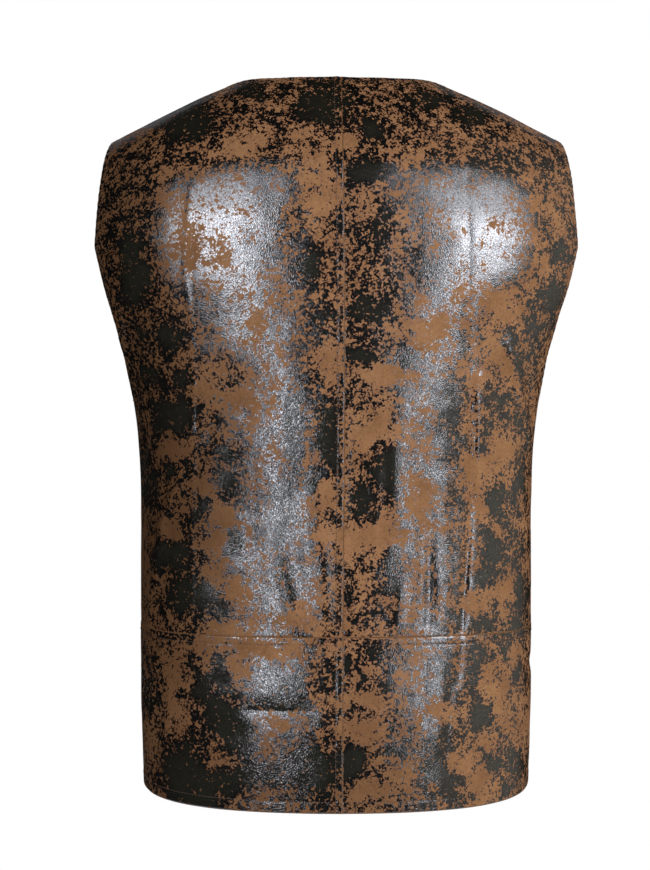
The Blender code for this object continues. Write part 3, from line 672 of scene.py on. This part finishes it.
def back_band_sides(side):
    seam = centre_seam(side)
    side_turn = math.radians(90) - SEAM_GAP / ROUND
    head = WAIST_SEAM - SEAM_GAP
    seam_foot = float(hem_height(0.0))

    def low(v):
        height = seam_foot + (head - seam_foot) * v
        return pair(seam(height), height)

    def high(v):
        return pair(side_turn, HEM + (head - HEM) * v)

    def bottom(u):
        start = seam(seam_foot)
        turn = start + (side_turn - start) * u
        return pair(turn, np.where(u > 0, hem_height(turn), seam_foot))

    def top(u):
        start = seam(head)
        return pair(start + (side_turn - start) * u, head)

    return low, high, bottom, top


def front_sides():
    side_turn = math.radians(90) + SEAM_GAP / ROUND
    neck_turn, tip_turn = math.radians(180 - NECK_TURN), math.radians(180 - TIP_TURN)
    armhole = edge(FRONT_ARMHOLE)

    def past_centre(height):
        return math.pi - turn_at(-FRONT_LAP, height)

    edge_foot = float(hem_height(past_centre(HEM)))

    def low(v):
        turn, height = armhole(np.clip((v - FRONT_UNDERARM_SHARE) / (1 - FRONT_UNDERARM_SHARE), 0, 1))
        turn, height = np.maximum(math.pi - turn, side_turn), np.minimum(height, RIDGE - RIDGE_GAP)
        under = v < FRONT_UNDERARM_SHARE
        straight = HEM + (UNDERARM - HEM) * v / FRONT_UNDERARM_SHARE
        return pair(np.where(under, side_turn, turn), np.where(under, straight, height))

    def high(v):
        under = v < FRONT_POINT_SHARE
        straight = edge_foot + (V_POINT - edge_foot) * v / FRONT_POINT_SHARE
        share = np.clip((v - FRONT_POINT_SHARE) / (1 - FRONT_POINT_SHARE), 0, 1)
        start = past_centre(V_POINT)
        turn = start + (neck_turn - start) * share**NECK_CURVE
        height = V_POINT + (RIDGE - RIDGE_GAP - V_POINT) * share
        edge_turn = past_centre(np.minimum(straight, YOKE))
        return pair(np.where(under, edge_turn, turn), np.where(under, straight, height))

    def bottom(u):
        turn = side_turn + (past_centre(HEM) - side_turn) * u
        return pair(turn, hem_height(turn))

    def top(u):
        return pair(tip_turn + (neck_turn - tip_turn) * u, RIDGE - RIDGE_GAP)

    return low, high, bottom, top


def shares(length, step):
    """Shares from 0 to 1 along a length, closer together near both ends."""
    t = np.linspace(0, length, SHARE_SAMPLES)
    away = np.minimum(t, length - t)
    density = 1 / np.minimum(step, FINE_STEP + COARSENING * away)
    total = np.concatenate([[0], np.cumsum((density[1:] + density[:-1]) / 2 * np.diff(t))])
    count = int(math.ceil(total[-1]))
    made = np.interp(np.linspace(0, total[-1], count + 1), total, t / length)
    made[0], made[-1] = 0.0, 1.0
    return made


def blend(sides, u, v):
    """A grid of places inside a four-sided outline, blended from its sides."""
    low, high, bottom, top = sides
    lows, highs = low(v)[:, None], high(v)[:, None]
    bottoms, tops = bottom(u)[None], top(u)[None]
    u, v = u[None, :, None], v[:, None, None]
    corners = (1 - v) * ((1 - u) * bottoms[:, :1] + u * bottoms[:, -1:])
    corners = corners + v * ((1 - u) * tops[:, :1] + u * tops[:, -1:])
    return (1 - u) * lows + u * highs + (1 - v) * bottoms + v * tops - corners


class Line:
    """A seam or an edge of a panel, as places and points on the torso."""

    def __init__(self, along, start, end, side, kind, stitched=0.0, inward=1):
        self.at = along(np.linspace(start, end, LINE_PLACES)) * (side, 1)
        self.points = torso(self.at[:, 0], self.at[:, 1])
        steps = np.linalg.norm(np.diff(self.points, axis=0), axis=1)
        self.length = np.concatenate([[0], np.cumsum(steps)])
        self.kind = kind
        self.stitched = stitched
        self.inward = inward * side

    def near(self, points):
        """Each point's distance from the line, and how far along the line it lies."""
        away = np.full(len(points), 1.0)
        where = np.zeros(len(points))
        coarse = self.points[::LINE_COARSE]
        for first in range(0, len(points), LINE_CHUNK):
            part = points[first : first + LINE_CHUNK]
            rough = np.sqrt(((part[:, None] - coarse[None]) ** 2).sum(-1)).min(1)
            close = np.flatnonzero(rough < LINE_NEAR)
            if len(close):
                gaps = part[close][:, None] - self.points[None]
                squares = (gaps**2).sum(-1)
                best = squares.argmin(1)
                away[first + close] = np.sqrt(squares[np.arange(len(close)), best])
                where[first + close] = self.length[best]
        return away, where

    def inset(self, distance, spacing):
        """Places that far inside the line, at an even spacing."""
        turn, height = self.at[:, 0], self.at[:, 1]
        along, up = slopes(turn, height)
        forward = unit(np.gradient(self.points, axis=0))
        inward = np.cross(outward(turn, height), forward) * self.inward
        aa, ab, bb = (along * along).sum(-1), (along * up).sum(-1), (up * up).sum(-1)
        pa, pb = (along * inward).sum(-1), (up * inward).sum(-1)
        det = aa * bb - ab * ab
        turn = turn + distance * (pa * bb - pb * ab) / det
        height = height + distance * (pb * aa - pa * ab) / det
        points = torso(turn, height)
        length = np.concatenate([[0], np.cumsum(np.linalg.norm(np.diff(points, axis=0), axis=1))])
        end = distance * 0.3  # left free of stitches
        wanted = np.arange(end, length[-1] - end, spacing)
        return np.stack([np.interp(wanted, length, turn), np.interp(wanted, length, height)], -1)


def wave(seed, at, size):
    """Smooth unevenness from -1 to 1 along a line."""
    level = seed * SEED_SPREAD
    return np.array([noise.noise(Vector((s / size, level, WAVE_LEVEL))) for s in np.atleast_1d(at)])


def uneven(point, seed):
    """Height of the leather's own slight unevenness."""
    return sum(noise.noise(Vector(point * waves + seed)) * height for waves, height in UNEVEN)


def ease(low, high, value):
    share = np.clip((value - low) / (high - low), 0.0, 1.0)
    return share * share * (3 - 2 * share)


class Panel:
    """A panel's grid of places, and the cloth over it."""

    def __init__(self, name, sides, side, size, step, lines, lift=None, seed=0):
        self.name, self.side, self.lift, self.seed = name, side, lift, seed
        width, length = size
        self.grid = blend(sides, shares(width, step), shares(length, step))
        self.grid[..., 0] *= side
        self.lines = lines

    def skin(self, turn, height):
        """Inner and outer points of the cloth, the outward direction and the torso's points."""
        base = torso(turn, height)
        facing = outward(turn, height)
        push = fold(turn, height)
        if self.lift:
            push = push + self.lift(base[..., 0])
        inner = base + push[..., None] * facing
        detail = np.zeros(len(base))
        tuck = np.zeros(len(base))
        self.from_edge = np.full(len(base), 1.0)
        for number, line in enumerate(self.lines):
            away, where = line.near(base)
            self.from_edge = np.minimum(self.from_edge, away)
            if line.kind == "seam":
                detail -= SEAM_GROOVE * np.exp(-((away / SEAM_REACH) ** 2))
            else:
                roll = 1 - np.sqrt(np.clip(1 - (1 - np.minimum(away / EDGE_REACH, 1)) ** 2, 0, 1))
                detail -= EDGE_ROLL * roll
                tuck += EDGE_TUCK * EDGE_ROLL * roll
            if line.stitched:
                past, before = line.stitched + STRIP_END[0], line.stitched + STRIP_END[1]
                raised = ease(0.0, STRIP_SLOPE, away) * ease(past, before, away)
                detail += STRIP_RISE * raised
                detail -= STITCH_GROOVE * np.exp(-(((away - line.stitched) / STITCH_REACH) ** 2))
                detail += self.pucker(number, line, away, where)
        detail += np.array([uneven(point, self.seed) for point in base])
        outer = inner + (WALL + detail)[..., None] * facing
        inner = inner + np.minimum(tuck, TUCK_MOST)[..., None] * facing
        return inner, outer, facing, base

    def pucker(self, number, line, away, where):
        """The ripple that a line's stitches draw into the cloth."""
        ripple = np.zeros(len(away))
        close = away < PUCKER_FAR
        s = where[close]
        drift = wave(self.seed + number, s, PUCKER_DRIFT)
        strength = PUCKER_HEIGHT + PUCKER_CHANGE * wave(self.seed + number + SWELL_SEED, s, PUCKER_SWELL)
        ripple[close] = np.sin(2 * np.pi * s / PUCKER_LENGTH + PUCKER_SHIFT * drift) * strength
        middle, reach = PUCKER_MIDDLE * line.stitched, PUCKER_WIDTH * line.stitched
        band = np.exp(-(((away - middle) / reach) ** 2))
        return PUCKER[line.kind] * ripple * band


def oval_away(row, across, down):
    """Squared distance from an oval's middle, 1 on its outline."""
    return ((across - row.x) / row.half_width) ** 2 + ((down - row.y) / row.half_height) ** 2


def patches(points, is_front):
    """How strongly the black coat has stayed at each point, and how much painted shade darkens the tan
    there.
    """
    if is_front:
        across, down = points[:, 0], points[:, 2]
        table, unit_size, weight = FRONT_PATCHES, FRONT_UNIT, FRONT_COAT
    else:
        depth = points[:, 1] - CAMERA[1]
        across = PHOTO_MIDDLE[0] + PHOTO_FOCUS * (points[:, 0] - CAMERA[0]) / depth
        down = PHOTO_MIDDLE[1] - PHOTO_FOCUS * (points[:, 2] - CAMERA[2]) / depth
        table, unit_size, weight = BACK_PATCHES, 1.0, 1.0
    (broad, broad_size), (fine, fine_size) = RAGGED
    ragged = np.array([
        noise.noise_vector(Vector(p * broad)) * broad_size + noise.noise_vector(Vector(p * fine)) * fine_size
        for p in points
    ])
    across = across + ragged[:, 0] * unit_size
    down = down + ragged[:, 1] * unit_size
    total = np.full(len(points), COAT_SHARE)
    for row in map(Patch._make, table):
        away = oval_away(row, across, down)
        total += weight * row.strength * np.exp(-np.minimum(away, 30) ** PATCH_EDGE)
    # painted shade: the tan is darkened towards the back's -X side and its bottom; the front gets none
    painted_shade_and_seam_wear = np.zeros(len(points))
    for row in map(Patch._make, () if is_front else BACK_PAINTED_SHADE):
        painted_shade_and_seam_wear += row.strength * np.exp(-oval_away(row, across, down))
    return np.clip(total, -1.0, 1.0), np.clip(painted_shade_and_seam_wear, 0.0, 1.0)


def add_mesh(name, points, faces, materials, smooth=True):
    mesh = bpy.data.meshes.new(name)
    mesh.from_pydata(points, [], faces)
    mesh.validate()
    for material in materials:
        mesh.materials.append(material)
    if smooth:
        mesh.shade_smooth()
    made = bpy.data.objects.new(name, mesh)
    bpy.context.scene.collection.objects.link(made)
    return made


def add_panel(panel, leather, suede):
    """A panel's shell: grain side, rim and suede side, with the values that its leather reads."""
    rows, columns = panel.grid.shape[:2]
    places = panel.grid.reshape(-1, 2)
    inner, outer, _, base = panel.skin(places[:, 0], places[:, 1])
    count = rows * columns
    index = np.arange(count).reshape(rows, columns)
    corners = (index[:-1, :-1], index[:-1, 1:], index[1:, 1:], index[1:, :-1])
    front = np.stack([corner.ravel() for corner in corners], -1)
    if panel.side < 0:
        front = front[:, ::-1]
    back = front[:, ::-1] + count
    loop = np.concatenate([index[0, :-1], index[:-1, -1], index[-1, :0:-1], index[:0:-1, 0]])
    following = np.roll(loop, -1)
    rim = np.stack([following, loop, loop + count, following + count], -1)
    if panel.side < 0:
        rim = rim[:, ::-1]
    faces = np.concatenate([front, rim, back])
    points = np.concatenate([outer, inner])
    made = add_mesh(panel.name, points.tolist(), faces.tolist(), (leather, suede))
    mesh = made.data
    shown = np.zeros(len(mesh.polygons), dtype=np.int32)
    shown[len(front) :] = 1
    mesh.polygons.foreach_set("material_index", shown)
    mesh.set_sharp_from_angle(angle=math.radians(SHARP_CLOTH))
    coat, painted_shade_and_seam_wear = patches(base, panel.name.startswith("front"))
    # the coat is rubbed off along each edge and seam
    rubbed = np.exp(-((panel.from_edge / SEAM_WEAR) ** 2))
    # the second value is painted shade, raised to the darkened tan of the worn edges and seams
    for name, values in (("coat", coat - RUBBED_OFF * rubbed), ("painted_shade_and_seam_wear", np.maximum(painted_shade_and_seam_wear, rubbed))):
        held = mesh.attributes.new(name, "FLOAT", "POINT")
        held.data.foreach_set("value", np.concatenate([values, values]))
    place = mesh.attributes.new("place", "FLOAT_VECTOR", "POINT")
    # moved, so that neighbouring panels don't share one run of noise
    shifted = base + (panel.seed * PLACE_SHIFT[0], panel.seed * PLACE_SHIFT[1], 0.0)
    place.data.foreach_set("vector", np.concatenate([shifted, shifted]).ravel())
    mesh.update()
    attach(made, "root")
    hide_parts(panel.name)
    return made


def tube_faces(start, rings, sides):
    """Faces of a closed tube whose points come ring after ring."""
    faces = []
    for r in range(rings - 1):
        near, far = start + r * sides, start + (r + 1) * sides
        for k in range(sides):
            n = (k + 1) % sides
            faces.append((near + k, near + n, far + n, far + k))
    faces.append(tuple(start + k for k in reversed(range(sides))))
    faces.append(tuple(start + (rings - 1) * sides + k for k in range(sides)))
    return faces


def add_stitches(name, panel, thread):
    """Thread along each stitched line: one short raised loop after another."""
    rings = len(STITCH_RISE)
    points, faces = [], []
    for line in panel.lines:
        if not line.stitched:
            continue
        centres = line.inset(line.stitched, STITCH)
        offsets = np.linspace(-0.5, 0.5, rings) * (STITCH - STITCH_GAP) / STITCH
        order = np.arange(len(centres))
        steps = (order[:, None] + offsets[None]).ravel()
        turn = np.interp(steps, order, centres[:, 0])
        height = np.interp(steps, order, centres[:, 1])
        _, outer, facing, _ = panel.skin(turn, height)
        outer = outer.reshape(len(centres), rings, 3)
        facing = facing.reshape(len(centres), rings, 3)
        middle = outer + np.array(STITCH_RISE)[None, :, None] * facing
        forward = unit(np.gradient(middle, axis=1))
        across = unit(np.cross(facing, forward))
        around = np.linspace(0, 2 * np.pi, STITCH_SIDES, endpoint=False)[None, None, :, None]
        ring = across[:, :, None] * np.cos(around) + facing[:, :, None] * np.sin(around)
        # the first and the last stitch come out too short, and are left out
        tube = (middle[:, :, None] + THREAD * ring)[1:-1]
        first = len(points)
        points.extend(tube.reshape(-1, 3).tolist())
        for number in range(len(tube)):
            faces += tube_faces(first + number * rings * STITCH_SIDES, rings, STITCH_SIDES)
    made = add_mesh(name, points, faces, (thread,))
    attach(made, "root")
    return made


class Nodes:
    """Builds a shader tree in few words."""

    def __init__(self, tree):
        self.tree = tree
        tree.nodes.clear()

    def add(self, kind, settings=None, **inputs):
        node = self.tree.nodes.new(kind)
        for key, value in (settings or {}).items():
            setattr(node, key, value)
        for key, value in inputs.items():
            self.put(node, key.replace("_", " "), value)
        return node

    def put(self, node, key, value):
        socket = node.inputs[int(key)] if key.isdigit() else node.inputs[key]
        if isinstance(value, bpy.types.NodeSocket):
            self.tree.links.new(value, socket)
        else:
            socket.default_value = value

    def math(self, operation, a, b=0.0, c=None):
        node = self.add("ShaderNodeMath", {"operation": operation})
        self.put(node, "0", a)
        self.put(node, "1", b)
        if c is not None:
            self.put(node, "2", c)
        return node.outputs[0]

    def noise(self, place, scale, detail=2.0, rough=0.55):
        node = self.add("ShaderNodeTexNoise", Vector=place, Scale=scale, Detail=detail, Roughness=rough)
        return node.outputs["Fac"]

    def ramp(self, value, low, high, to_low=0.0, to_high=1.0):
        node = self.add("ShaderNodeMapRange", {"clamp": True}, Value=value)
        for key, number in (("From Min", low), ("From Max", high), ("To Min", to_low), ("To Max", to_high)):
            self.put(node, key, number)
        return node.outputs["Result"]

    def mix(self, share, a, b):
        node = self.add("ShaderNodeMix", {"data_type": "RGBA"})
        self.put(node, "0", share)
        self.put(node, "6", a)
        self.put(node, "7", b)
        return node.outputs[2]

    def attribute(self, name, output):
        return self.add("ShaderNodeAttribute", {"attribute_name": name}).outputs[output]


def shader_nodes(name):
    made = bpy.data.materials.new(name)
    made.use_nodes = True
    return made, Nodes(made.node_tree)


def leather_material():
    """Tan leather under a patched, cracked and glossy black coat."""
    made, n = shader_nodes("worn_leather")
    # turned, so that the noise's cells don't line up with the axes
    place = n.attribute("place", "Vector")
    place = n.add("ShaderNodeMapping", Vector=place, Rotation=TEXTURE_TURN).outputs["Vector"]

    # where the coat lies, and the reddened leather beside it
    coat = n.attribute("coat", "Fac")
    rows = [Texture(*row) for row in COAT_NOISES]
    textures = [n.noise(place, row.scale, row.detail, row.roughness) for row in rows]
    field = n.math("MULTIPLY", coat, PATCH_WEIGHT)
    for texture, row in zip(textures, rows):
        field = n.math("MULTIPLY_ADD", n.math("SUBTRACT", texture, 0.5), row.weight, field)
    mask = n.ramp(field, *COAT_EDGE)
    chip = n.ramp(field, *CHIP_EDGE)

    # the tan leather, with mottling and flecks, darkened by painted shade and along its worn edges and seams
    mottle = n.noise(place, MOTTLE, 4.0, 0.6)
    tan = n.mix(n.ramp(mottle, *MOTTLE_EDGE), TAN, TAN_DEEP)
    tan = n.mix(n.math("MULTIPLY", chip, 0.7), tan, TAN_RED)
    flecks = n.noise(place, FLECK, 3.0, 0.7)
    tan = n.mix(n.ramp(flecks, *FLECK_EDGE, 0.0, FLECK_MOST), tan, TAN_DARK)
    # painted shade and worn seams: the tan is darkened towards TAN_DARK
    tan = n.mix(n.attribute("painted_shade_and_seam_wear", "Fac"), tan, TAN_DARK)

    # the coat's colour, more olive well inside a patch: the olive is partly the coat's own tone and partly
    # painted sheen, standing for studio light that the patch cores reflect
    inside = n.math("MULTIPLY_ADD", n.math("SUBTRACT", textures[0], 0.5), 1.2, coat)
    black = n.mix(n.ramp(inside, *OLIVE_EDGE), COAT_BLACK, COAT_OLIVE_AND_SHEEN)

    # the pebbled grain, with the coat a little above the leather
    cells = n.add("ShaderNodeTexVoronoi", {"feature": "DISTANCE_TO_EDGE"}, Vector=place, Scale=PEBBLE)
    pebble = n.ramp(cells.outputs["Distance"], 0.0, PEBBLE_SEAM)
    relief = n.math("MULTIPLY_ADD", n.noise(place, GRAIN, 2.0, 0.5), GRAIN_SHARE, pebble)
    relief = n.math("MULTIPLY_ADD", mask, COAT_RELIEF, relief)
    bump = n.add("ShaderNodeBump", Height=relief, Strength=0.30, Distance=RELIEF)

    # only the coat shines, and unevenly
    sparkle = n.ramp(n.noise(place, SPARKLE, 2.0, 0.6), *SPARKLE_EDGE, SPARKLE_LEAST, 1.0)
    shader = n.add("ShaderNodeBsdfPrincipled", Roughness=BARE_ROUGHNESS)
    n.put(shader, "Coat Roughness", COAT_ROUGHNESS)
    n.put(shader, "Coat IOR", COAT_IOR)
    n.put(shader, "Specular IOR Level", BARE_GLOSS)
    n.put(shader, "Base Color", n.mix(mask, tan, black))
    n.put(shader, "Coat Weight", n.math("MULTIPLY", mask, sparkle))
    n.put(shader, "Coat Normal", bump.outputs["Normal"])
    n.put(shader, "Normal", bump.outputs["Normal"])
    n.add("ShaderNodeOutputMaterial", Surface=shader.outputs["BSDF"])
    return made


def plain_material(name, colour, roughness, ior=1.45):
    made = bpy.data.materials.new(name)
    made.use_nodes = True
    shader = made.node_tree.nodes["Principled BSDF"]
    shader.inputs["Base Color"].default_value = colour
    shader.inputs["Roughness"].default_value = roughness
    shader.inputs["IOR"].default_value = ior
    return made


def suede_material():
    """The leather's flesh side, which also shows on cut edges."""
    made, n = shader_nodes("suede_side")
    place = n.attribute("place", "Vector")
    colour = n.mix(n.ramp(n.noise(place, SUEDE_MOTTLE, 4.0), *SUEDE_EDGE), SUEDE_LIGHT, SUEDE_DARK)
    nap = n.noise(place, SUEDE_NAP, 2.0)
    bump = n.add("ShaderNodeBump", Height=nap, Strength=0.3, Distance=SUEDE_RELIEF)
    shader = n.add("ShaderNodeBsdfPrincipled", Roughness=0.9)
    n.put(shader, "Base Color", colour)
    n.put(shader, "Specular IOR Level", 0.2)
    n.put(shader, "Normal", bump.outputs["Normal"])
    n.add("ShaderNodeOutputMaterial", Surface=shader.outputs["BSDF"])
    return made


def button_blank(name, material):
    """A button's turned form, before its holes."""
    points = [(0.0, 0.0, BUTTON_PROFILE[0][1] * BUTTON_THICKNESS)]
    for share, up in BUTTON_PROFILE[1:-1]:
        for k in range(BUTTON_SIDES):
            a = 2 * math.pi * k / BUTTON_SIDES
            across, over = share * BUTTON_RADIUS * math.cos(a), share * BUTTON_RADIUS * math.sin(a)
            points.append((across, over, up * BUTTON_THICKNESS))
    points.append((0.0, 0.0, 0.0))
    last = 1 + (len(BUTTON_PROFILE) - 3) * BUTTON_SIDES
    faces = []
    for k in range(BUTTON_SIDES):
        n = (k + 1) % BUTTON_SIDES
        faces.append((0, 1 + k, 1 + n))
        for a in range(1, last, BUTTON_SIDES):
            b = a + BUTTON_SIDES
            faces.append((a + k, b + k, b + n, a + n))
        faces.append((last + k, len(points) - 1, last + n))
    return add_mesh(name, points, faces, (material,))


def cut_holes(made):
    """Cuts the four sewing holes through a button."""
    points, faces = [], []
    around = np.linspace(0, 2 * math.pi, HOLE_SIDES, endpoint=False)
    for sx in (-1, 1):
        for sy in (-1, 1):
            faces += tube_faces(len(points), len(HOLE_CUT), HOLE_SIDES)
            for height in HOLE_CUT:
                for a in around:
                    across, over = HOLE_RADIUS * math.cos(a), HOLE_RADIUS * math.sin(a)
                    points.append((sx * HOLE_PLACE + across, sy * HOLE_PLACE + over, height))
    cutter = add_mesh("cutter", points, faces, (), False)
    cut = made.modifiers.new("Holes", "BOOLEAN")
    cut.object = cutter
    cut.solver = "EXACT"
    graph = bpy.context.evaluated_depsgraph_get()
    mesh = bpy.data.meshes.new_from_object(made.evaluated_get(graph))
    made.modifiers.clear()
    made.data = mesh
    bpy.data.objects.remove(cutter, do_unlink=True)
    mesh.set_sharp_from_angle(angle=math.radians(SHARP_BUTTON))


def add_button(number, height, black, thread):
    """A four-hole button with a rim, sewn on with two crossing threads."""
    made = button_blank(f"button_{number}_face", black)
    cut_holes(made)
    centre_front = np.array([math.pi])
    base = Vector(torso(math.pi, height).tolist())
    out = Vector(outward(math.pi, height).tolist())
    push = float(lap(0.0) + fold(centre_front, np.array([height]))[0]) + WALL + BUTTON_SEAT
    turned = out.to_track_quat("Z", "Y").to_matrix().to_4x4()
    where = Matrix.Translation(base + out * push) @ turned
    made.matrix_world = where
    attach(made, "root")
    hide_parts(f"button_{number}")
    bars = []
    for sign in (1, -1):
        bar = [(place, place * sign, up) for place, up in THREAD_PATH]
        middle = len(bar) // 2
        bar[middle] = (*bar[middle][:2], bar[middle][2] + THREAD_CROSSING * sign)
        bars.append(bar)
    sewn = tubes(f"button_{number}_thread", bars, BUTTON_THREAD, thread)
    sewn.matrix_world = where
    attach(sewn, "root")


def tubes(name, lines, radius, material, sides=8):
    """Round closed tubes along lists of points."""
    points, faces = [], []
    for line in lines:
        path = np.array(line, float)
        forward = unit(np.gradient(path, axis=0))
        is_level = abs(forward[len(path) // 2, 2]) < 0.9
        guide = np.array([0.0, 0.0, 1.0] if is_level else [1.0, 0.0, 0.0])
        across = unit(np.cross(forward, guide) + 1e-9)
        over = unit(np.cross(across, forward))
        around = np.linspace(0, 2 * np.pi, sides, endpoint=False)[None, :, None]
        ring = across[:, None] * np.cos(around) + over[:, None] * np.sin(around)
        faces += tube_faces(len(points), len(path), sides)
        points.extend((path[:, None] + radius * ring).reshape(-1, 3).tolist())
    return add_mesh(name, points, faces, (material,))


def add_buttonholes(panel, thread):
    """Each hole is a slit with a sewn rim, behind its button and a little past it."""
    angle = np.linspace(0, 2 * np.pi, 49)
    loops = []
    for height in BUTTON_HEIGHTS:
        x = BUTTONHOLE_MIDDLE + BUTTONHOLE_HALF * np.cos(angle)
        z = height + BUTTONHOLE_GAP * np.sign(np.sin(angle)) * np.abs(np.sin(angle)) ** 0.5
        turn = -(math.pi - turn_at(x, z))
        _, outer, facing, _ = panel.skin(turn, z)
        loops.append((outer + BUTTONHOLE_RISE * facing).tolist())
    made = tubes("buttonhole_thread", loops, BUTTONHOLE_THREAD, thread, 6)
    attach(made, "root")


def from_vest(azimuth, elevation, distance):
    """A place seen from the vest, with azimuth 0 at the camera and growing towards +X."""
    a, e = math.radians(azimuth), math.radians(elevation)
    way = Vector((math.sin(a) * math.cos(e), -math.cos(a) * math.cos(e), math.sin(e)))
    return VEST_BACK + distance * way


def add_lamp(row):
    """An area lamp that fills a range of azimuth and elevation, as seen from the vest."""
    azimuth = (row.azimuth_from + row.azimuth_to) / 2
    elevation = (row.elevation_from + row.elevation_to) / 2
    across = math.radians(row.azimuth_to - row.azimuth_from)
    up = math.radians(row.elevation_to - row.elevation_from)
    width = 2 * row.distance * math.tan(across / 2) * math.cos(math.radians(elevation))
    height = 2 * row.distance * math.tan(up / 2)
    lamp = bpy.data.lights.new(row.name, "AREA")
    lamp.shape = "RECTANGLE"
    lamp.size, lamp.size_y = width, height
    lamp.energy = row.radiance * math.pi * width * height
    lamp.color = LAMP_COLOUR
    made = bpy.data.objects.new(row.name, lamp)
    made.location = from_vest(azimuth, elevation, row.distance)
    made.rotation_euler = (VEST_BACK - made.location).to_track_quat("-Z", "Y").to_euler()
    made.visible_glossy = row.glossy
    bpy.context.scene.collection.objects.link(made)


def set_world():
    """A dim room that is brighter towards +X, behind the white page that the camera sees."""
    world = bpy.data.worlds.new("studio")
    bpy.context.scene.world = world
    world.use_nodes = True
    n = Nodes(world.node_tree)
    direction = n.add("ShaderNodeTexCoord").outputs["Generated"]
    parts = n.add("ShaderNodeSeparateXYZ", Vector=direction)
    lean = n.math("MULTIPLY", parts.outputs["X"], 1.6)
    lean = n.math("MULTIPLY_ADD", parts.outputs["Y"], -0.40, lean)
    bright = n.ramp(lean, 0.60, 1.50, 0.010, 0.50)
    room = n.add("ShaderNodeBackground", Color=ROOM)
    n.put(room, "Strength", bright)
    page = n.add("ShaderNodeBackground", Color=PAGE, Strength=1.0)
    seen = n.add("ShaderNodeLightPath").outputs["Is Camera Ray"]
    mixed = n.add("ShaderNodeMixShader")
    for key, value in (("0", seen), ("1", room.outputs[0]), ("2", page.outputs[0])):
        n.put(mixed, key, value)
    n.add("ShaderNodeOutputWorld", Surface=mixed.outputs[0])


def set_camera():
    lens = bpy.data.cameras.new("camera")
    lens.lens = LENS
    lens.sensor_width = SENSOR
    lens.clip_start, lens.clip_end = 0.05, 30.0
    made = bpy.data.objects.new("camera", lens)
    made.location = CAMERA
    made.rotation_euler = (LOOK_AT - made.location).to_track_quat("-Z", "Y").to_euler()
    bpy.context.scene.collection.objects.link(made)
    bpy.context.scene.camera = made


def set_floor():
    angles = [2 * math.pi * k / FLOOR_SIDES for k in range(FLOOR_SIDES)]
    points = [(FLOOR_RADIUS * math.cos(a), FLOOR_RADIUS * math.sin(a), FLOOR_HEIGHT) for a in angles]
    paper = plain_material("floor_paper", FLOOR_GREY, 0.9)
    floor = add_mesh("floor", points, [tuple(range(FLOOR_SIDES))], (paper,), False)


def centre_stitch(side):
    """The centre back seam is topstitched on its left half only."""
    return TOPSTITCH if side < 0 else 0.0


def upper_back(side, word, step):
    low, high, bottom, top = sides = back_upper_sides(side)
    lines = [
        Line(low, 0, 1, side, "seam", centre_stitch(side), -1),
        Line(bottom, 0, 1, side, "seam"),
        Line(high, 0, BACK_UNDERARM_SHARE, side, "seam"),
        Line(high, BACK_UNDERARM_SHARE, 1, side, "edge", TOPSTITCH, 1),
        Line(top, BACK_NECK_SHARE, 1, side, "seam"),
        Line(top, 0, BACK_NECK_SHARE, side, "edge", TOPSTITCH, -1),
    ]
    return Panel(f"back_{word}", sides, side, BACK_GRID, step, lines, seed=3 + side)


def back_band(side, word, step):
    low, high, bottom, top = sides = back_band_sides(side)
    lines = [
        Line(low, 0, 1, side, "seam", centre_stitch(side), -1),
        Line(top, 0, 1, side, "seam", WAIST_STITCH, -1),
        Line(high, 0, 1, side, "seam"),
        Line(bottom, 0, 1, side, "hem", HEM_STITCH, 1),
    ]
    return Panel(f"back_band_{word}", sides, side, BAND_GRID, step, lines, seed=7 + side)


def front(side, word, step):
    low, high, bottom, top = sides = front_sides()
    lines = [
        Line(low, 0, FRONT_UNDERARM_SHARE, side, "seam"),
        Line(low, FRONT_UNDERARM_SHARE, 1, side, "edge", TOPSTITCH, -1),
        Line(high, 0, FRONT_POINT_SHARE, side, "edge", TOPSTITCH, 1),
        Line(high, FRONT_POINT_SHARE, 1, side, "edge", TOPSTITCH, 1),
        Line(bottom, 0, 1, side, "hem", HEM_STITCH, 1),
        Line(top, 0, 1, side, "seam"),
    ]
    lift = lap if side < 0 else None
    step = step * FRONT_STEP
    return Panel(f"front_{word}", sides, side, FRONT_GRID, step, lines, lift, seed=12 + side)


def main():
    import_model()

    leather = leather_material()
    suede = suede_material()
    thread = plain_material("dark_thread", THREAD_BROWN, 0.6)
    button = plain_material("button_black", BUTTON_BLACK, 0.22, 1.5)

    step = STEP
    for side, word in ((1, "right"), (-1, "left")):
        for make, part in ((upper_back, "back"), (back_band, "band"), (front, "front")):
            panel = make(side, word, step)
            made = add_panel(panel, leather, suede)
            sewn = add_stitches(f"stitching_{part}_{word}", panel, thread)
    # the last panel is the left front, which lies on top
    add_buttonholes(panel, thread)
    for number, height in enumerate(BUTTON_HEIGHTS, start=1):
        add_button(number, height, button, thread)

    for row in LAMPS:
        add_lamp(Lamp(*row))
    set_world()
    set_floor()
    set_camera()
    bpy.context.scene.view_settings.view_transform = "Standard"


main()
